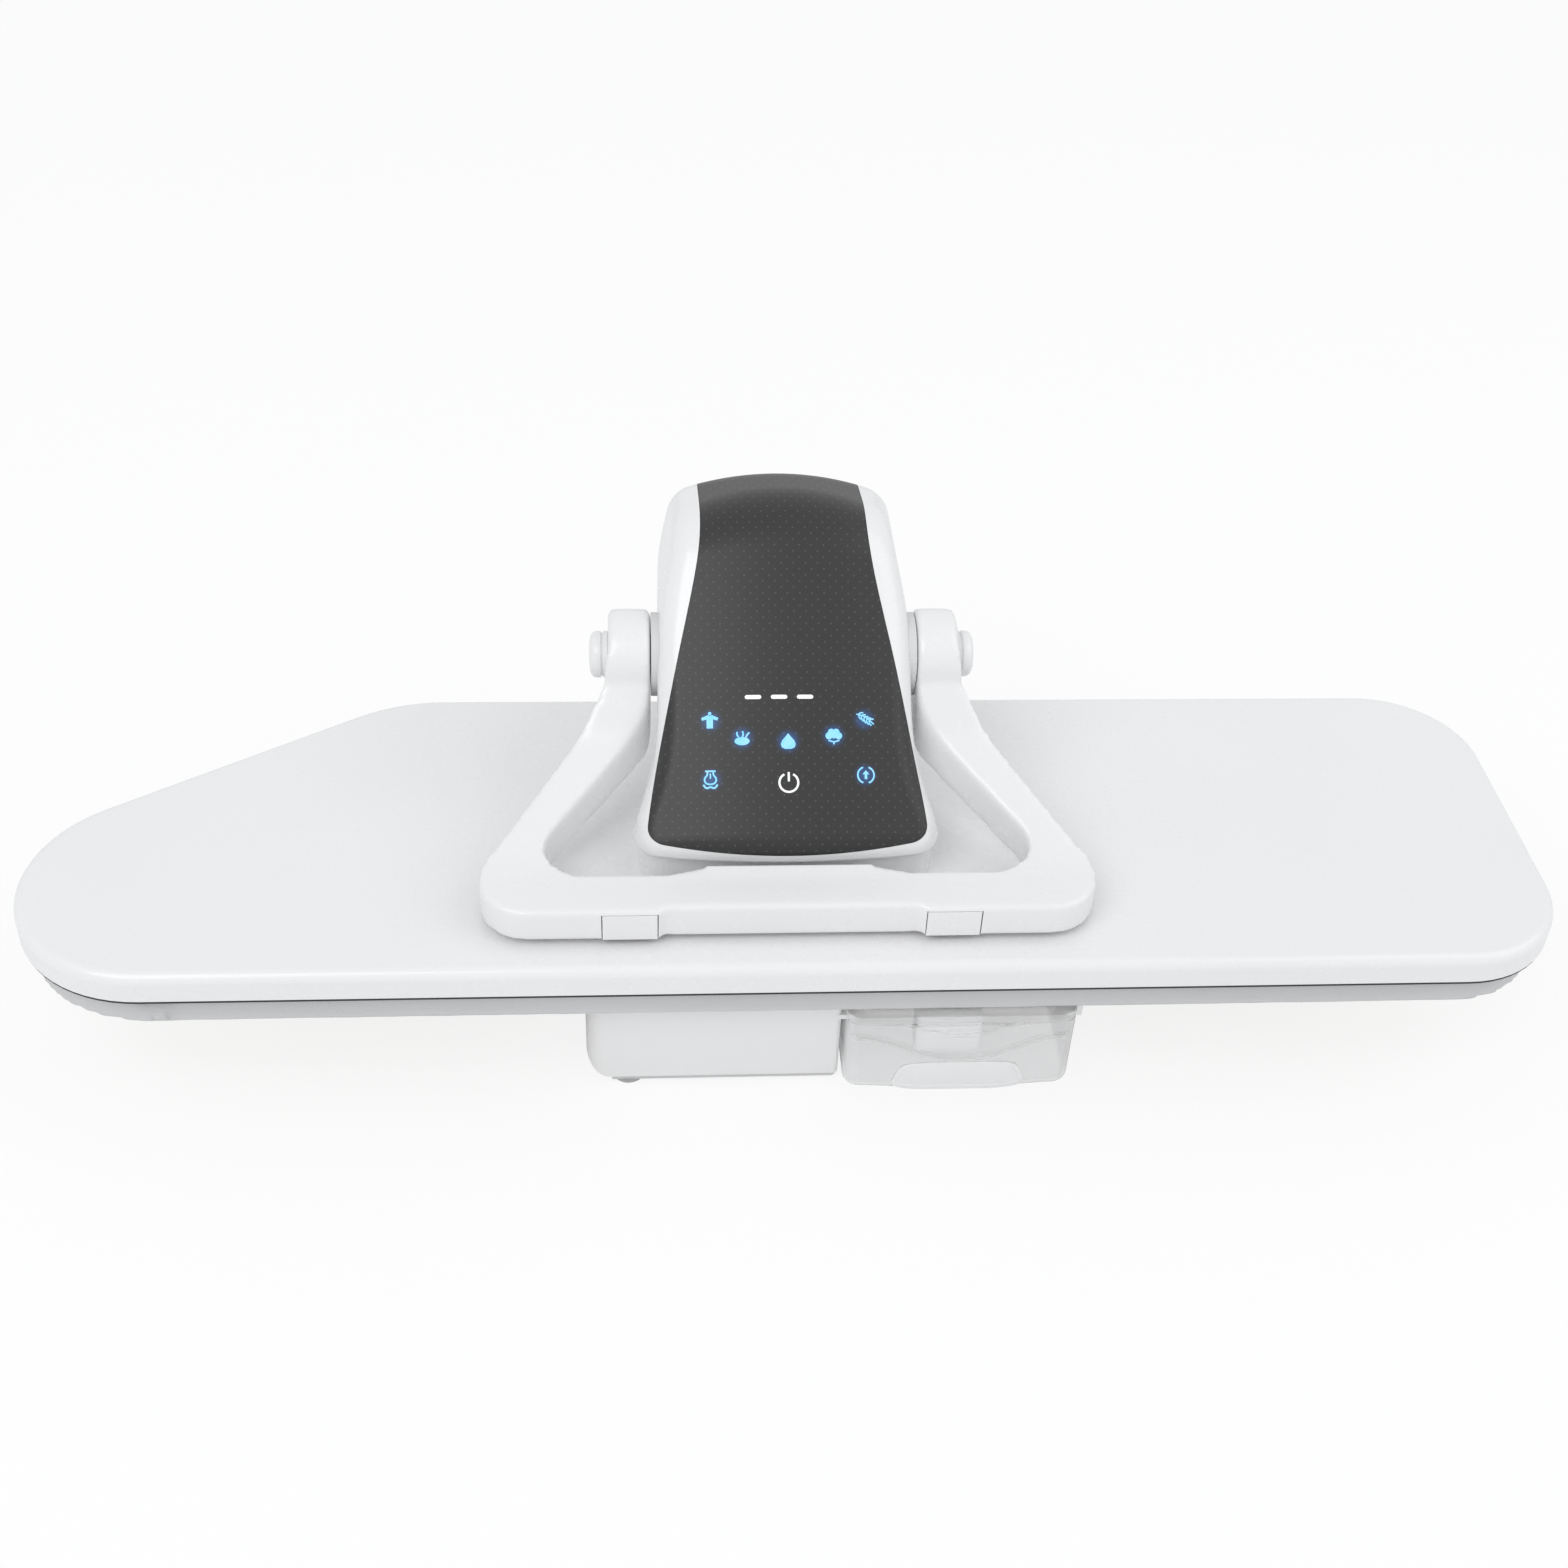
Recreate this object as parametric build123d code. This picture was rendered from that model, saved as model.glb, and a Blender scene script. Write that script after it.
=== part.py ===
"""Steam ironing press: a heated plate in a long cover, hinged over a padded board on a pedestal.

Units are millimetres. X runs to the right, Y to the back and Z up. Heights are measured from the
table at z = 0. The head is closed, its handle is locked down and the water tank is home.
"""
import math
import os

from build123d import *

# Board plan: a long rectangle with its left end cut back to a nose
cover_length = 834.0
cover_depth = 237.0
shoulder_x = -230.5
slant_run_share = 1.535
nose_radius = 75.0
shoulder_radius = 95.0
end_radius = 61.0

# Heights of the closed press
cover_bottom_z = 86.7
cover_height = 17.0
seam_height = 2.2
board_height = 19.4

# Working clearances
run_gap = 0.3
seat_gap = 0.1
pin_gap = 0.05
cut_over = 1.0

# Lower board
board_end_inset = 11.0
board_side_inset = 5.0
board_rim_radius = 9.0
cloth_thick = 1.0
foam_wrap = 9.0
core_height = 6.0
hem_width = 16.0
board_boss_radius = 8.0
board_boss_edge = 22.0
board_boss_depth = 40.0

# Pedestal
base_left_x = -116.6
base_bay_x = 22.0
base_right_x = 153.6
base_front_y = -100.0
base_rear_y = 126.0
base_wall = 3.0
base_corner_radius = 12.0
base_plate_thick = 3.0
foot_height = 2.5
foot_radius = 9.0
foot_edge = 12.5
column_half = 60.0
column_rear_y = 172.0
toe_radius = 14.0

# Tank bay and tank
bay_depth = 95.0
bay_back_gap = 3.0
bay_roof_thick = 4.0
rail_thick = 3.0
rail_reach = 5.0
tank_left_x = 24.0
tank_right_x = 150.0
tank_front_y = -108.0
tank_bottom_z = 3.2
tank_wall = 2.2
tank_corner_radius = 9.0
tank_flange_height = 5.0
tank_groove_depth = 5.6
tank_top_gap = 1.2
grip_width = 96.0
grip_height = 20.0
grip_bulge = 5.0
grip_dish = 3.0
cap_radius = 15.0
cap_height = 4.0
cap_x = 62.0
cap_y = -80.0
cap_neck_radius = 11.0
cap_neck_depth = 7.0
cap_rib_thick = 3.0
cap_seal_thick = 1.2
outlet_radius = 5.0
outlet_bore = 2.5
outlet_reach = 9.0
outlet_x = 60.0
outlet_z = 24.0
seat_ring_radius = 9.0
seat_length = 12.0

# Rear hinge
head_mid_x = -7.5
hinge_y = 150.0
hinge_z = 98.7
hinge_pin_radius = 6.0
hinge_pin_half = 52.0
hinge_eye_radius = 14.0
barrel_radius = 20.0
barrel_wall = 2.6
ear_inner_half = 36.0
ear_thick = 4.0
bracket_floor_thick = 4.0
bracket_reach = 18.0
bush_wall = 2.0
bush_flange = 1.5
bush_flange_radius = 11.0
clip_thick = 1.2
clip_radius = 9.0
clip_groove = 0.9
spring_wire = 2.6
spring_turns = 7
spring_bar_radius = 3.0
spring_bar_drop = 26.0

# Lift arm inside the head
cheek_inner_half = 29.0
cheek_thick = 3.0
arm_foot_thick = 3.0
arm_foot_half = 44.0
arm_front_y = -26.0
arm_rear_y = 97.0
arm_bridge_lift = 3.0

# Handle pivot
pivot_y = 43.0
pivot_z = 188.7
shaft_radius = 7.0
pivot_eye_radius = 14.0
arm_inner_half = 72.5
arm_thick = 23.0
pivot_boss_radius = 25.0
pivot_cap_radius = 13.0
pivot_cap_height = 10.5
pivot_cap_edge = 4.0
collar_radius = 23.0
collar_length = 10.0

# Handle
bar_front_y = -99.5
bar_waist_y = -96.5
bar_back_y = -71.0
bar_mid_back_y = -65.0
bar_bottom_z = 107.7
bar_height = 19.6
arm_corner_x = 191.0
waist_half = 66.0
waist_step = 4.0
back_bow_half = 42.0
arm_straight = 21.0
arm_inner_straight = 31.0
inner_corner_x = 136.0
inner_corner_y = -58.0
inner_corner_run = 24.0
arm_corner_radius = 26.5
arm_bend_radius = 18.0
inner_corner_radius = 12.0
rise_low_y = -58.0
rise_low_mid_y = 12.0
rise_low_lift = 36.0
rise_mid_y = 0.0
rise_lift = 36.4
rise_y = -66.0
rise_radius = 45.0
arm_root_share = 0.6
arm_shoulder_share = 0.84
handle_edge = 4.5
handle_wall = 2.4
under_cover_thick = 2.0
grip_cavity_half = 118.0
button_mid = 84.5
button_width = 28.5
button_height = 16.5
button_depth = 13.0
button_travel = 2.5
button_line = 0.5
switch_width = 12.0
switch_height = 6.5
switch_depth = 7.0

# Housing on the cover
housing_wall = 2.8
housing_front_y = -61.0
housing_rear_y = 140.0
housing_front_radius = 26.0
housing_rear_radius = 30.0
housing_edge_radius = 15.0
housing_crown_drop = 12.0
housing_crown_half = 90.0
crown_station_shares = (-1.0, -0.5, 0.0, 0.5, 1.0)
housing_level_shares = (0.0, 0.085, 0.24, 0.48, 0.73, 1.0)
housing_front_halves = (94.0, 93.0, 84.0, 72.0, 67.0, 65.0)
housing_waist_halves = (79.0, 77.5, 71.5, 69.3, 66.3, 63.8)
housing_rear_halves = (71.0, 70.5, 68.5, 67.5, 65.0, 62.0)
housing_waist_y = 5.0
lip_lift = 21.0
lip_undercut = 8.0
lip_edge_radius = 2.0
front_lean = 2.0
slope_foot_y = -60.0
slope_foot_lift = 33.0
slope_top_y = 72.0
slope_top_lift = 165.0
crest_rear_lift = 150.0
crest_fall = 22.0
rim_radius = 16.0
crest_radius = 45.0
rear_crest_radius = 34.0
hinge_relief = 22.6
neck_half = 34.3
neck_notch_lift = 34.0

# Control panel
glass_thick = 1.8
panel_top_v = 218.0
panel_line = 0.25
panel_half = 74.5
panel_side_shares = (
    (1.0, 0.0593), (0.987, 0.0917), (0.919, 0.2293), (0.839, 0.3668), (0.752, 0.5089), (0.671, 0.6375),
    (0.611, 0.7705), (0.605, 0.8991), (0.603, 1.0),
)
panel_foot_half = 66.0
panel_foot_v = 2.0
panel_bow = 4.5
panel_depth = 58.0
bar_light_v = 80.0
bar_light_u = -4.5
bar_light_pitch = 13.9
bar_light_length = 9.0
bar_light_width = 2.6
icon_radius = 5.6
power_radius = 6.2
icon_place_shares = ((0.557, 0.303), (0.329, 0.259), (0.557, 0.1654))
icon_mid_v = 54.6
power_v = 34.3
pcb_thick = 1.6
pcb_width = 100.0
pcb_length = 66.0
pcb_drop = 12.0
pcb_post_radius = 3.0

# Heating plate and what stands on it
plate_thick = 5.0
plate_end_inset = 14.0
plate_side_inset = 14.0
cover_wall = 2.5
cover_edge_radius = 5.5
frame_ledge = 10.0
frame_thick = 2.0
steam_hole_radius = 1.8
steam_hole_pitch = 32.0
chamber_wall = 3.0
chamber_height = 5.5
chamber_lid_thick = 1.5
chamber_half_y = 54.0
left_chamber_x = (-222.0, -59.0)
right_chamber_x = (44.0, 322.0)
element_radius = 3.2
element_bend = 26.0
hanger_radius = 9.0
hanger_web = 1.8
hanger_cavity_radius = 7.0
hanger_height = 8.6
stud_radius = 2.8
stud_head_radius = 5.5
stud_head_height = 1.8
stud_lift = 2.5
stud_pitch_x = 76.0
stud_front_y = -12.0
stud_rear_y = 87.0
yoke_bar_height = 7.0
yoke_leg_width = 6.0
yoke_half = 24.0
yoke_depth = 18.0
yoke_foot_height = 3.0
cam_radius = 14.5
cam_throw = 6.0
cam_lead_deg = 20.0
cam_width = 7.0
cam_mid = 17.0

# Screws and small hardware
screw_radius = 2.0
screw_head_radius = 3.8
screw_head_height = 1.6
screw_length = 9.0

# Electrics and water
pump_radius = 14.0
pump_length = 52.0
pump_x = -62.0
pump_y = -30.0
pump_z = 24.0
pump_coil = 30.0
pump_nozzle_radius = 3.0
pump_nozzle_length = 9.0
mount_block = 8.0
hose_radius = 4.0
hose_bore = 2.2
hose_bend = 11.0
riser_radius = 5.0
riser_x = -56.0
riser_y = 148.0
power_board_x = -48.0
power_board_y = 59.0
power_board_width = 54.0
power_board_depth = 56.0
power_board_lift = 6.0
relay_count = 2
relay_share = 0.24
relay_margin = 5.0
gland_radius = 8.0
gland_bore = 4.0
gland_length = 18.0
gland_flange = 2.0
gland_flange_radius = 11.0
gland_x = 108.0
gland_z = 26.0

cover_top_z = cover_bottom_z + cover_height
board_top_z = cover_bottom_z - seam_height
board_bottom_z = board_top_z - board_height
base_bottom_z = foot_height
base_floor_z = base_bottom_z + base_plate_thick
pad_top_z = board_top_z
plate_bottom_z = pad_top_z + run_gap
plate_top_z = plate_bottom_z + plate_thick
cover_ceiling_z = cover_top_z - cover_wall
tank_rear_y = base_front_y + bay_depth - bay_back_gap

nodes = {}


def keep(name, *solids):
    """Store a sub-part under its node name, as one solid or a group of separate solids."""
    parts = [piece for solid in solids for piece in solid.solids()]
    nodes[name] = parts[0] if len(parts) == 1 else Compound(children=parts)


def block(x0, x1, y0, y1, z0, z1):
    """A box from one corner to the other."""
    return Pos(x0, y0, z0) * Box(x1 - x0, y1 - y0, z1 - z0, align=(Align.MIN, Align.MIN, Align.MIN))


def post(radius, z0, z1, x, y):
    """A cylinder that stands along Z."""
    return Pos(x, y, z0) * Cylinder(radius, z1 - z0, align=(Align.CENTER, Align.CENTER, Align.MIN))


def rod(radius, x0, x1, y, z):
    """A cylinder that lies along X."""
    turn = Rot(0, 90, 0)
    return Pos(x0, y, z) * turn * Cylinder(radius, x1 - x0, align=(Align.CENTER, Align.CENTER, Align.MIN))


def bolt_y(radius, y0, y1, x, z):
    """A cylinder that lies along Y."""
    turn = Rot(-90, 0, 0)
    return Pos(x, y0, z) * turn * Cylinder(radius, y1 - y0, align=(Align.CENTER, Align.CENTER, Align.MIN))


def slab(points, radii, z0, z1):
    """A plate with rounded corners, from its plan."""
    outline = FilletPolyline(*points, radius=radii, close=True)
    return Pos(0, 0, z0) * extrude(make_face(outline), z1 - z0)


def side_plate(points, x0, x1, radii=None):
    """A plate in the YZ plane, from its side view."""
    if radii is None:
        outline = Polyline(*points, close=True)
    else:
        outline = FilletPolyline(*points, radius=radii, close=True)
    face = make_face(outline)
    plane = Plane(origin=(x0, 0, 0), x_dir=(0, 1, 0), z_dir=(1, 0, 0))
    return extrude(plane * face, x1 - x0)


def screw_down(x, y, z):
    """A pan-head screw whose head sits on a face at height z."""
    head = post(screw_head_radius, z, z + screw_head_height, x, y)
    return head + post(screw_radius, z - screw_length, z, x, y)


def screw_up(x, y, z):
    """The same screw, driven upwards from a face at height z."""
    head = post(screw_head_radius, z - screw_head_height, z, x, y)
    return head + post(screw_radius, z, z + screw_length, x, y)


def mirrored_x(x):
    """The place of x on the other side of the head's middle plane."""
    return 2 * head_mid_x - x


def board_plan(inset, end_inset=0.0, side_inset=0.0):
    """The board's outline and corner radii, drawn in from the cover's edge by an inset."""
    side = inset + side_inset
    half = cover_depth / 2 - side
    right = cover_length / 2 - inset - end_inset
    slant = side * math.hypot(1, slant_run_share)
    rear_left = shoulder_x + slant - side * slant_run_share
    tip = shoulder_x + slant - (cover_depth - side) * slant_run_share
    points = [(right, -half), (right, half), (rear_left, half), (tip, -half)]
    radii = [end_radius - side, end_radius - side, shoulder_radius - side, nose_radius - side]
    return points, radii


def board_slab(z0, z1, inset, end_inset=0.0, side_inset=0.0):
    """A plate of the board's outline."""
    points, radii = board_plan(inset, end_inset, side_inset)
    return slab(points, radii, z0, z1)


def lower_slab(z0, z1, inset):
    """A plate of the lower board's outline, which is a little smaller than the cover's."""
    return board_slab(z0, z1, inset, board_end_inset - board_side_inset, board_side_inset)


def rounded_rim(body, radius):
    """The same body with its top and bottom rims rounded."""
    faces = body.faces().sort_by(Axis.Z)
    return fillet(faces[0].edges() + faces[-1].edges(), radius)


def board_boss_places():
    """Where the board is bolted to the pedestal."""
    left = base_left_x + board_boss_edge
    front = base_front_y + board_boss_depth
    rear = base_rear_y - board_boss_depth
    return [(left, front), (base_bay_x - board_boss_edge, front), (left, rear),
            (base_right_x - board_boss_edge, rear)]


def lower_board():
    """The rigid board, its foam and the cloth that wraps them."""
    outer = rounded_rim(lower_slab(board_bottom_z, board_top_z, 0.0), board_rim_radius)
    soft = lower_slab(board_bottom_z + cloth_thick, board_top_z - cloth_thick, cloth_thick)
    foam = rounded_rim(soft, board_rim_radius - cloth_thick)
    core_z = board_bottom_z + cloth_thick
    core = lower_slab(core_z, core_z + core_height, cloth_thick + foam_wrap)
    for x, y in board_boss_places():
        core += post(board_boss_radius, board_bottom_z, core_z + seat_gap, x, y)
        core -= post(screw_radius + seat_gap, board_bottom_z - cut_over, core_z + screw_length, x, y)
    mouth = lower_slab(board_bottom_z - cut_over, core_z, hem_width)
    below = lower_slab(core_z - cut_over, core_z, 0.0)
    keep("board_cover", outer - foam - mouth)
    core_room = lower_slab(core_z - cut_over, core_z + core_height, cloth_thick + foam_wrap)
    keep("foam_pad", foam - below - core_room)
    keep("press_board", core)
    roof_z = board_bottom_z - base_wall
    keep("board_screws", *[screw_up(x, y, roof_z) for x, y in board_boss_places()])


def base_points(inset):
    """The pedestal's plan, with the tank bay left out at its front right."""
    left = base_left_x + inset
    bay = base_bay_x - inset
    right = base_right_x - inset
    front = base_front_y + inset
    bay_rear = base_front_y + bay_depth + inset
    rear = base_rear_y - inset
    column_left = head_mid_x - column_half + inset
    column_right = head_mid_x + column_half - inset
    column_rear = column_rear_y - inset
    return [
        (left, front), (bay, front), (bay, bay_rear), (right, bay_rear), (right, rear),
        (column_right, rear), (column_right, column_rear), (column_left, column_rear),
        (column_left, rear), (left, rear),
    ]


def base_radii(inset):
    """Corner radii that belong to the pedestal's plan."""
    big = base_corner_radius - inset
    small = base_wall
    return [big, small, small, big, big, small, big, big, small, big]


def toed_slab(inset, z0, z1):
    """The pedestal's plan as a block whose lower left edge is rounded, where it leans in above its feet."""
    left = base_left_x + inset
    right = base_right_x + toe_radius
    top = board_bottom_z + 2 * toe_radius
    low = base_floor_z + inset - base_wall if inset > 0 else base_floor_z
    view = FilletPolyline((left, low), (right, low), (right, top), (left, top), radius=toe_radius - inset,
                          close=True)
    plane = Plane(origin=(0, base_front_y - toe_radius, 0), x_dir=(1, 0, 0), z_dir=(0, -1, 0))
    prism = extrude(plane * make_face(view), -(column_rear_y - base_front_y + 2 * toe_radius))
    return slab(base_points(inset), base_radii(inset), z0, z1) & prism


def base_screw_places():
    """Corners where the base plate is screwed to the shell."""
    return [
        (base_left_x + 4 * base_corner_radius, base_front_y + base_corner_radius),
        (base_bay_x - 3 * base_corner_radius, base_front_y + base_corner_radius),
        (base_right_x - base_corner_radius, base_rear_y - 3 * base_corner_radius),
        (base_right_x - base_corner_radius, base_front_y + bay_depth + base_corner_radius),
        (base_left_x + 4 * base_corner_radius, base_rear_y - base_corner_radius),
    ]


def foot_places():
    """The rubber feet, two under the front and two under the back."""
    left = base_left_x + toe_radius + foot_radius
    back = base_rear_y - foot_edge - foot_radius
    return [
        (left, base_front_y + foot_radius), (base_bay_x - foot_edge, base_front_y + foot_edge + foot_radius),
        (base_right_x - foot_edge, back), (left, back),
    ]


def pedestal():
    """The pedestal's shell with its tank rails, its plate, feet and screws."""
    roof_z = board_bottom_z - base_wall
    shell = toed_slab(0.0, base_floor_z, board_bottom_z)
    shell -= toed_slab(base_wall, base_floor_z - cut_over, roof_z)

    bay_rear = base_front_y + bay_depth
    bay_roof_z = board_bottom_z - bay_roof_thick
    ledge_top = tank_lid_z() - tank_flange_height - run_gap
    ledge_z = ledge_top - rail_thick
    rail_x = tank_right_x + 2 * run_gap
    shell += block(base_bay_x - base_wall, base_right_x, base_front_y, bay_rear + base_wall, bay_roof_z,
                   board_bottom_z)
    shell += block(base_bay_x - base_wall, tank_left_x + rail_reach, base_front_y, bay_rear, ledge_z,
                   ledge_top)
    shell += block(rail_x, base_right_x, base_front_y, bay_rear + base_wall, ledge_z, bay_roof_z)
    shell += block(rail_x - rail_reach, base_right_x, base_front_y, bay_rear, ledge_z, ledge_top)

    for x, y in base_screw_places():
        shell += post(foot_radius / 2, base_floor_z, roof_z, x, y)
        shell -= post(screw_radius + seat_gap, base_floor_z - cut_over, base_floor_z + screw_length, x, y)
    for x, y in board_boss_places():
        shell -= post(screw_radius + seat_gap, roof_z - cut_over, board_bottom_z + cut_over, x, y)
    for side in (-1, 1):
        ear_0 = head_mid_x + side * (ear_inner_half - run_gap)
        ear_1 = head_mid_x + side * (ear_inner_half + ear_thick + run_gap)
        reach = bracket_reach - cut_over
        slot = block(min(ear_0, ear_1), max(ear_0, ear_1), hinge_y - reach, hinge_y + reach,
                     roof_z - cut_over, board_bottom_z + cut_over)
        shell -= slot
    shell -= bolt_y(seat_ring_radius + seat_gap, bay_rear - cut_over, bay_rear + 2 * base_wall, outlet_x,
                    outlet_z)
    shell -= bolt_y(gland_radius + seat_gap, base_rear_y - 2 * base_wall, base_rear_y + cut_over, gland_x,
                    gland_z)
    keep("base_shell", shell)

    floor = slab(base_points(cut_over), base_radii(cut_over), base_bottom_z, base_floor_z)
    floor -= block(base_left_x, base_left_x + toe_radius, base_front_y, base_rear_y, base_bottom_z,
                   base_floor_z)
    bolts = bracket_bolt_places()
    for x, y in base_screw_places():
        floor -= post(screw_radius + seat_gap, base_bottom_z - cut_over, base_floor_z + cut_over, x, y)
    for x, y in bolts:
        floor -= post(screw_radius + seat_gap, base_bottom_z - cut_over, base_floor_z + cut_over, x, y)
    keep("base_plate", floor)
    keep("base_screws", *[screw_up(x, y, base_bottom_z) for x, y in base_screw_places()])
    feet = [fillet(post(foot_radius, 0, foot_height, x, y).faces().sort_by(Axis.Z)[0].edges(),
                   foot_height / 3) for x, y in foot_places()]
    keep("rubber_feet", *feet)
    keep("bracket_bolts", *[screw_up(x, y, base_bottom_z) for x, y in bolts])


def bracket_bolt_places():
    """Four bolts that hold the hinge bracket down through the base plate."""
    reach_x = ear_inner_half - bracket_reach / 2
    reach_y = bracket_reach - screw_head_radius
    return [(head_mid_x + i * reach_x, hinge_y + j * reach_y) for i in (-1, 1) for j in (-1, 1)]


def hinge():
    """The steel bracket, its pin, clips, bushes and the lift spring."""
    foot_top = base_floor_z + bracket_floor_thick
    half = ear_inner_half + ear_thick
    near = hinge_y - bracket_reach
    far = hinge_y + bracket_reach
    bracket = block(head_mid_x - half, head_mid_x + half, near, far, base_floor_z, foot_top)
    for side in (-1, 1):
        x0 = head_mid_x + min(side * ear_inner_half, side * half)
        ear = [(near + cut_over, base_floor_z), (far - cut_over, base_floor_z),
               (hinge_y + hinge_eye_radius, hinge_z), (hinge_y - hinge_eye_radius, hinge_z)]
        bracket += side_plate(ear, x0, x0 + ear_thick)
        bracket += rod(hinge_eye_radius, x0, x0 + ear_thick, hinge_y, hinge_z)
    bracket -= rod(hinge_pin_radius + pin_gap, head_mid_x - half - cut_over, head_mid_x + half + cut_over,
                   hinge_y, hinge_z)
    bracket += rod(spring_bar_radius, head_mid_x - ear_inner_half, head_mid_x + ear_inner_half,
                   hinge_y, hinge_z - spring_bar_drop)
    for x, y in bracket_bolt_places():
        bracket -= post(screw_radius + seat_gap, base_floor_z - cut_over, foot_top + cut_over, x, y)
    keep("hinge_bracket", bracket)

    pin = rod(hinge_pin_radius, head_mid_x - hinge_pin_half, head_mid_x + hinge_pin_half, hinge_y, hinge_z)
    clips = []
    for side in (-1, 1):
        inner = half + 2 * seat_gap
        x0 = head_mid_x + min(side * inner, side * (inner + clip_thick))
        groove = rod(hinge_pin_radius + cut_over, x0 - seat_gap, x0 + clip_thick + seat_gap, hinge_y, hinge_z)
        pin -= groove - rod(hinge_pin_radius - clip_groove, x0 - cut_over, x0 + clip_thick + cut_over,
                            hinge_y, hinge_z)
        ring = rod(clip_radius, x0, x0 + clip_thick, hinge_y, hinge_z)
        ring -= rod(hinge_pin_radius - clip_groove + seat_gap, x0 - cut_over, x0 + clip_thick + cut_over,
                    hinge_y, hinge_z)
        ring -= block(x0 - cut_over, x0 + clip_thick + cut_over, hinge_y - hinge_pin_radius / 2,
                      hinge_y + hinge_pin_radius / 2, hinge_z - clip_radius - cut_over, hinge_z)
        clips.append(ring)
    keep("hinge_pin", pin)
    keep("hinge_clips", *clips)

    bushes = []
    for side in (-1, 1):
        outer = cheek_inner_half + cheek_thick
        sleeve_0 = head_mid_x + min(side * cheek_inner_half, side * outer)
        flange_0 = head_mid_x + min(side * outer, side * (outer + bush_flange))
        bush = rod(hinge_pin_radius + pin_gap + bush_wall, sleeve_0, sleeve_0 + cheek_thick, hinge_y, hinge_z)
        bush += rod(bush_flange_radius, flange_0, flange_0 + bush_flange, hinge_y, hinge_z)
        bush -= rod(hinge_pin_radius + pin_gap, head_mid_x + side * outer - 2 * cheek_thick,
                    head_mid_x + side * outer + 2 * cheek_thick, hinge_y, hinge_z)
        bushes.append(bush)
    keep("hinge_bushes", *bushes)
    keep("lift_spring", lift_spring())


def lift_spring():
    """A torsion spring round the pin. Its tail hooks under the bracket's cross bar."""
    radius = hinge_pin_radius + run_gap + spring_wire / 2
    pitch = spring_wire + run_gap
    length = pitch * spring_turns
    start_x = head_mid_x - length / 2
    turn = Plane(origin=(start_x, hinge_y, hinge_z), x_dir=(0, -1, 0), z_dir=(1, 0, 0))
    coil_path = turn * Helix(pitch, length, radius)
    profile = Plane(origin=coil_path @ 0, z_dir=coil_path % 0) * Circle(spring_wire / 2)
    return sweep(profile, path=coil_path)


def column_covers():
    """Two caps that hide the hinge bracket's ears on the back of the pedestal."""
    inner_0 = neck_half + run_gap
    for name, side in (("column_cover_left", -1), ("column_cover_right", 1)):
        x0 = head_mid_x + min(side * inner_0, side * column_half)
        x1 = head_mid_x + max(side * inner_0, side * column_half)
        outer = column_side(x0, x1, 0.0)
        edges = [e for e in outer.edges() if abs(e.center().X - (head_mid_x + side * column_half)) < seat_gap]
        outer = fillet([e for e in edges if e.center().Z > board_bottom_z + cut_over], barrel_wall)
        wall_0 = ear_inner_half - run_gap
        wall_1 = column_half - barrel_wall
        c0 = head_mid_x + min(side * wall_0, side * wall_1)
        c1 = head_mid_x + max(side * wall_0, side * wall_1)
        cover = outer - column_side(c0, c1, barrel_wall)
        web_0 = head_mid_x + min(side * inner_0, side * ear_inner_half) - cut_over
        web_1 = head_mid_x + max(side * inner_0, side * ear_inner_half) + cut_over
        slot = spring_bar_radius + seat_gap
        cover -= rod(hinge_pin_radius + cut_over, web_0, web_1, hinge_y, hinge_z)
        cover -= rod(slot, web_0, web_1, hinge_y, hinge_z - spring_bar_drop)
        cover -= block(web_0, web_1, hinge_y - slot, hinge_y + slot, board_bottom_z - cut_over,
                       hinge_z - spring_bar_drop)
        keep(name, cover)


def column_side(x0, x1, inset):
    """A hinge cheek's side view: a round top on a straight stalk."""
    low = board_bottom_z if inset == 0 else board_bottom_z - cut_over
    half = barrel_radius - inset
    stalk = block(x0, x1, hinge_y - half, hinge_y + half, low, hinge_z)
    return stalk + rod(half, x0, x1, hinge_y, hinge_z)


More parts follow.
